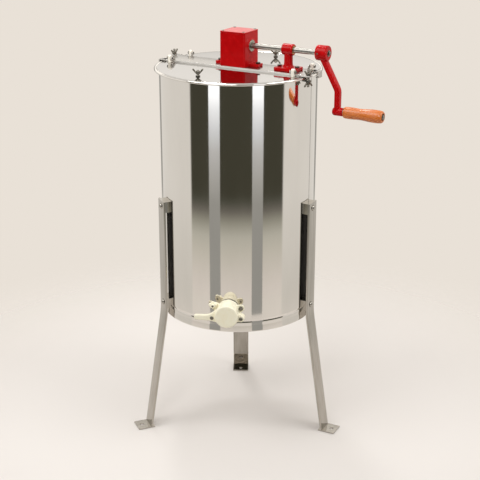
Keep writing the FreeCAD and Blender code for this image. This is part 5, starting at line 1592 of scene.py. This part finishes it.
    def room(self) -> None:
        """Round screen, dim behind the camera and pale elsewhere, and two lamp cloths for polished steel."""
        self.wall("room_screen", self.screen_radius, 0.0, 360.0, self.screen_height,
                  self.cloth("room_screen_cloth", self.screen_colours, 1.0))
        lamp = self.cloth("lamp_cloth", self.lamp_colours, self.lamp_strength)
        for number, (start, end) in enumerate(self.lamp_edges):
            middle = CAMERA_AZIMUTH + (start + end) / 2
            panel = self.wall(f"lamp_cloth_{number + 1}", self.lamp_radius, middle, end - start,
                              self.lamp_height, lamp)
            panel.visible_diffuse = panel.visible_shadow = False

    def paper(self) -> bpy.types.Material:
        """Matt paper that fades into the backdrop; for gloss it glows instead, with a painted picture of the
        floor that dims away behind the camera.

        Returns:
            The material.
        """
        made, tree = blank_material("matt_paper_with_painted_glow_for_gloss")
        radius = add_node(tree, "ShaderNodeVectorMath", {0: object_place(tree)},
                          operation="LENGTH").outputs["Value"]
        reach = remap(tree, radius, self.floor_near, self.floor_near + self.floor_span)
        dim = ramped(tree, reach, [((r - self.floor_near) / self.floor_span, colour)
                                   for r, colour in (*self.floor_stops, (2.15, self.gloom))])
        pale = ramped(tree, reach, [(0.0, self.near_pale), (0.9, self.pale)])
        paper = add_node(tree, "ShaderNodeBsdfDiffuse", {"Color": linear(self.floor_colour)}).outputs[0]
        far = add_node(tree, "ShaderNodeEmission", {
            "Color": mixed(tree, self.dim_side(tree, self.rear_share), pale, dim)}).outputs[0]
        clear = add_node(tree, "ShaderNodeBsdfTransparent").outputs[0]
        rays = add_node(tree, "ShaderNodeLightPath").outputs["Is Glossy Ray"]

        def blend(share: Socket, first: Socket, second: Socket) -> Socket:
            """Shader between two shaders."""
            return add_node(tree, "ShaderNodeMixShader", {0: share, 1: first, 2: second}).outputs[0]

        plain = blend(remap(tree, radius, 0.5, 1.2, curve="SMOOTHSTEP"), paper, clear)
        glossy = blend(remap(tree, radius, 0.45, 1.15, curve="SMOOTHSTEP"), paper, far)
        add_node(tree, "ShaderNodeOutputMaterial", {"Surface": blend(rays, plain, glossy)})
        made.cycles.emission_sampling = "NONE"
        return made

    def floor(self) -> None:
        """Round sheet of paper under the feet."""
        level = self.floor_level / MM
        rings = [(radius, level) for radius in (0, 900.0, 1600.0, self.floor_radius / MM)]
        piece = new_mesh("paper_floor", lathe(rings, 96))
        piece.data.materials.append(self.paper())

    def light(self) -> None:
        """Wide soft lamps on the left, in front and on the right, and a small one behind."""
        for lamp in self.lamps:
            data = bpy.data.lights.new(lamp.name, "AREA")
            data.shape, data.size, data.energy = "DISK", lamp.size, lamp.power
            made = bpy.data.objects.new(lamp.name, data)
            made.location = lamp.place
            aim = Vector(self.lamp_target) - Vector(lamp.place)
            made.rotation_euler = aim.to_track_quat("-Z", "Y").to_euler()
            bpy.context.scene.collection.objects.link(made)

    def camera(self) -> None:
        """Camera in front, a little to the right of the gate, that looks down at the drum's middle."""
        data = bpy.data.cameras.new("camera")
        data.lens, data.sensor_width, data.sensor_fit = self.lens, self.sensor, "HORIZONTAL"
        made = bpy.data.objects.new("camera", data)
        bpy.context.scene.collection.objects.link(made)
        azimuth, pitch = math.radians(CAMERA_AZIMUTH), math.radians(self.pitch)
        away = math.radians(CAMERA_AZIMUTH + 180 - self.yaw)
        level, distance = math.cos(pitch), self.camera_distance
        forward = Vector((math.cos(away) * level, math.sin(away) * level, -math.sin(pitch)))
        look = forward.to_track_quat("-Z", "Y").to_matrix().to_4x4()
        tilt = Matrix.Rotation(math.radians(self.roll), 4, "Z")
        place = (distance * math.cos(azimuth), distance * math.sin(azimuth), self.camera_height)
        made.matrix_world = Matrix.Translation(place) @ look @ tilt
        bpy.context.scene.camera = made

    def build(self) -> None:
        """Sets up the whole studio."""
        bpy.context.scene.view_settings.view_transform = "Standard"
        self.world()
        self.room()
        self.floor()
        self.light()
        self.camera()


def main() -> None:
    """Builds and dresses the centrifuge, sub-assembly by sub-assembly."""
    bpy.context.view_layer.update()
    for assembly in (Studio(), Drum(), Legs(), Crossbar(), Lids(), Gearbox(), Bracket(), Crank(), HoneyGate(),
                     Rotor()):
        log.info("building %s", type(assembly).__name__)
        assembly.build()


if __name__ == "__main__":
    main()
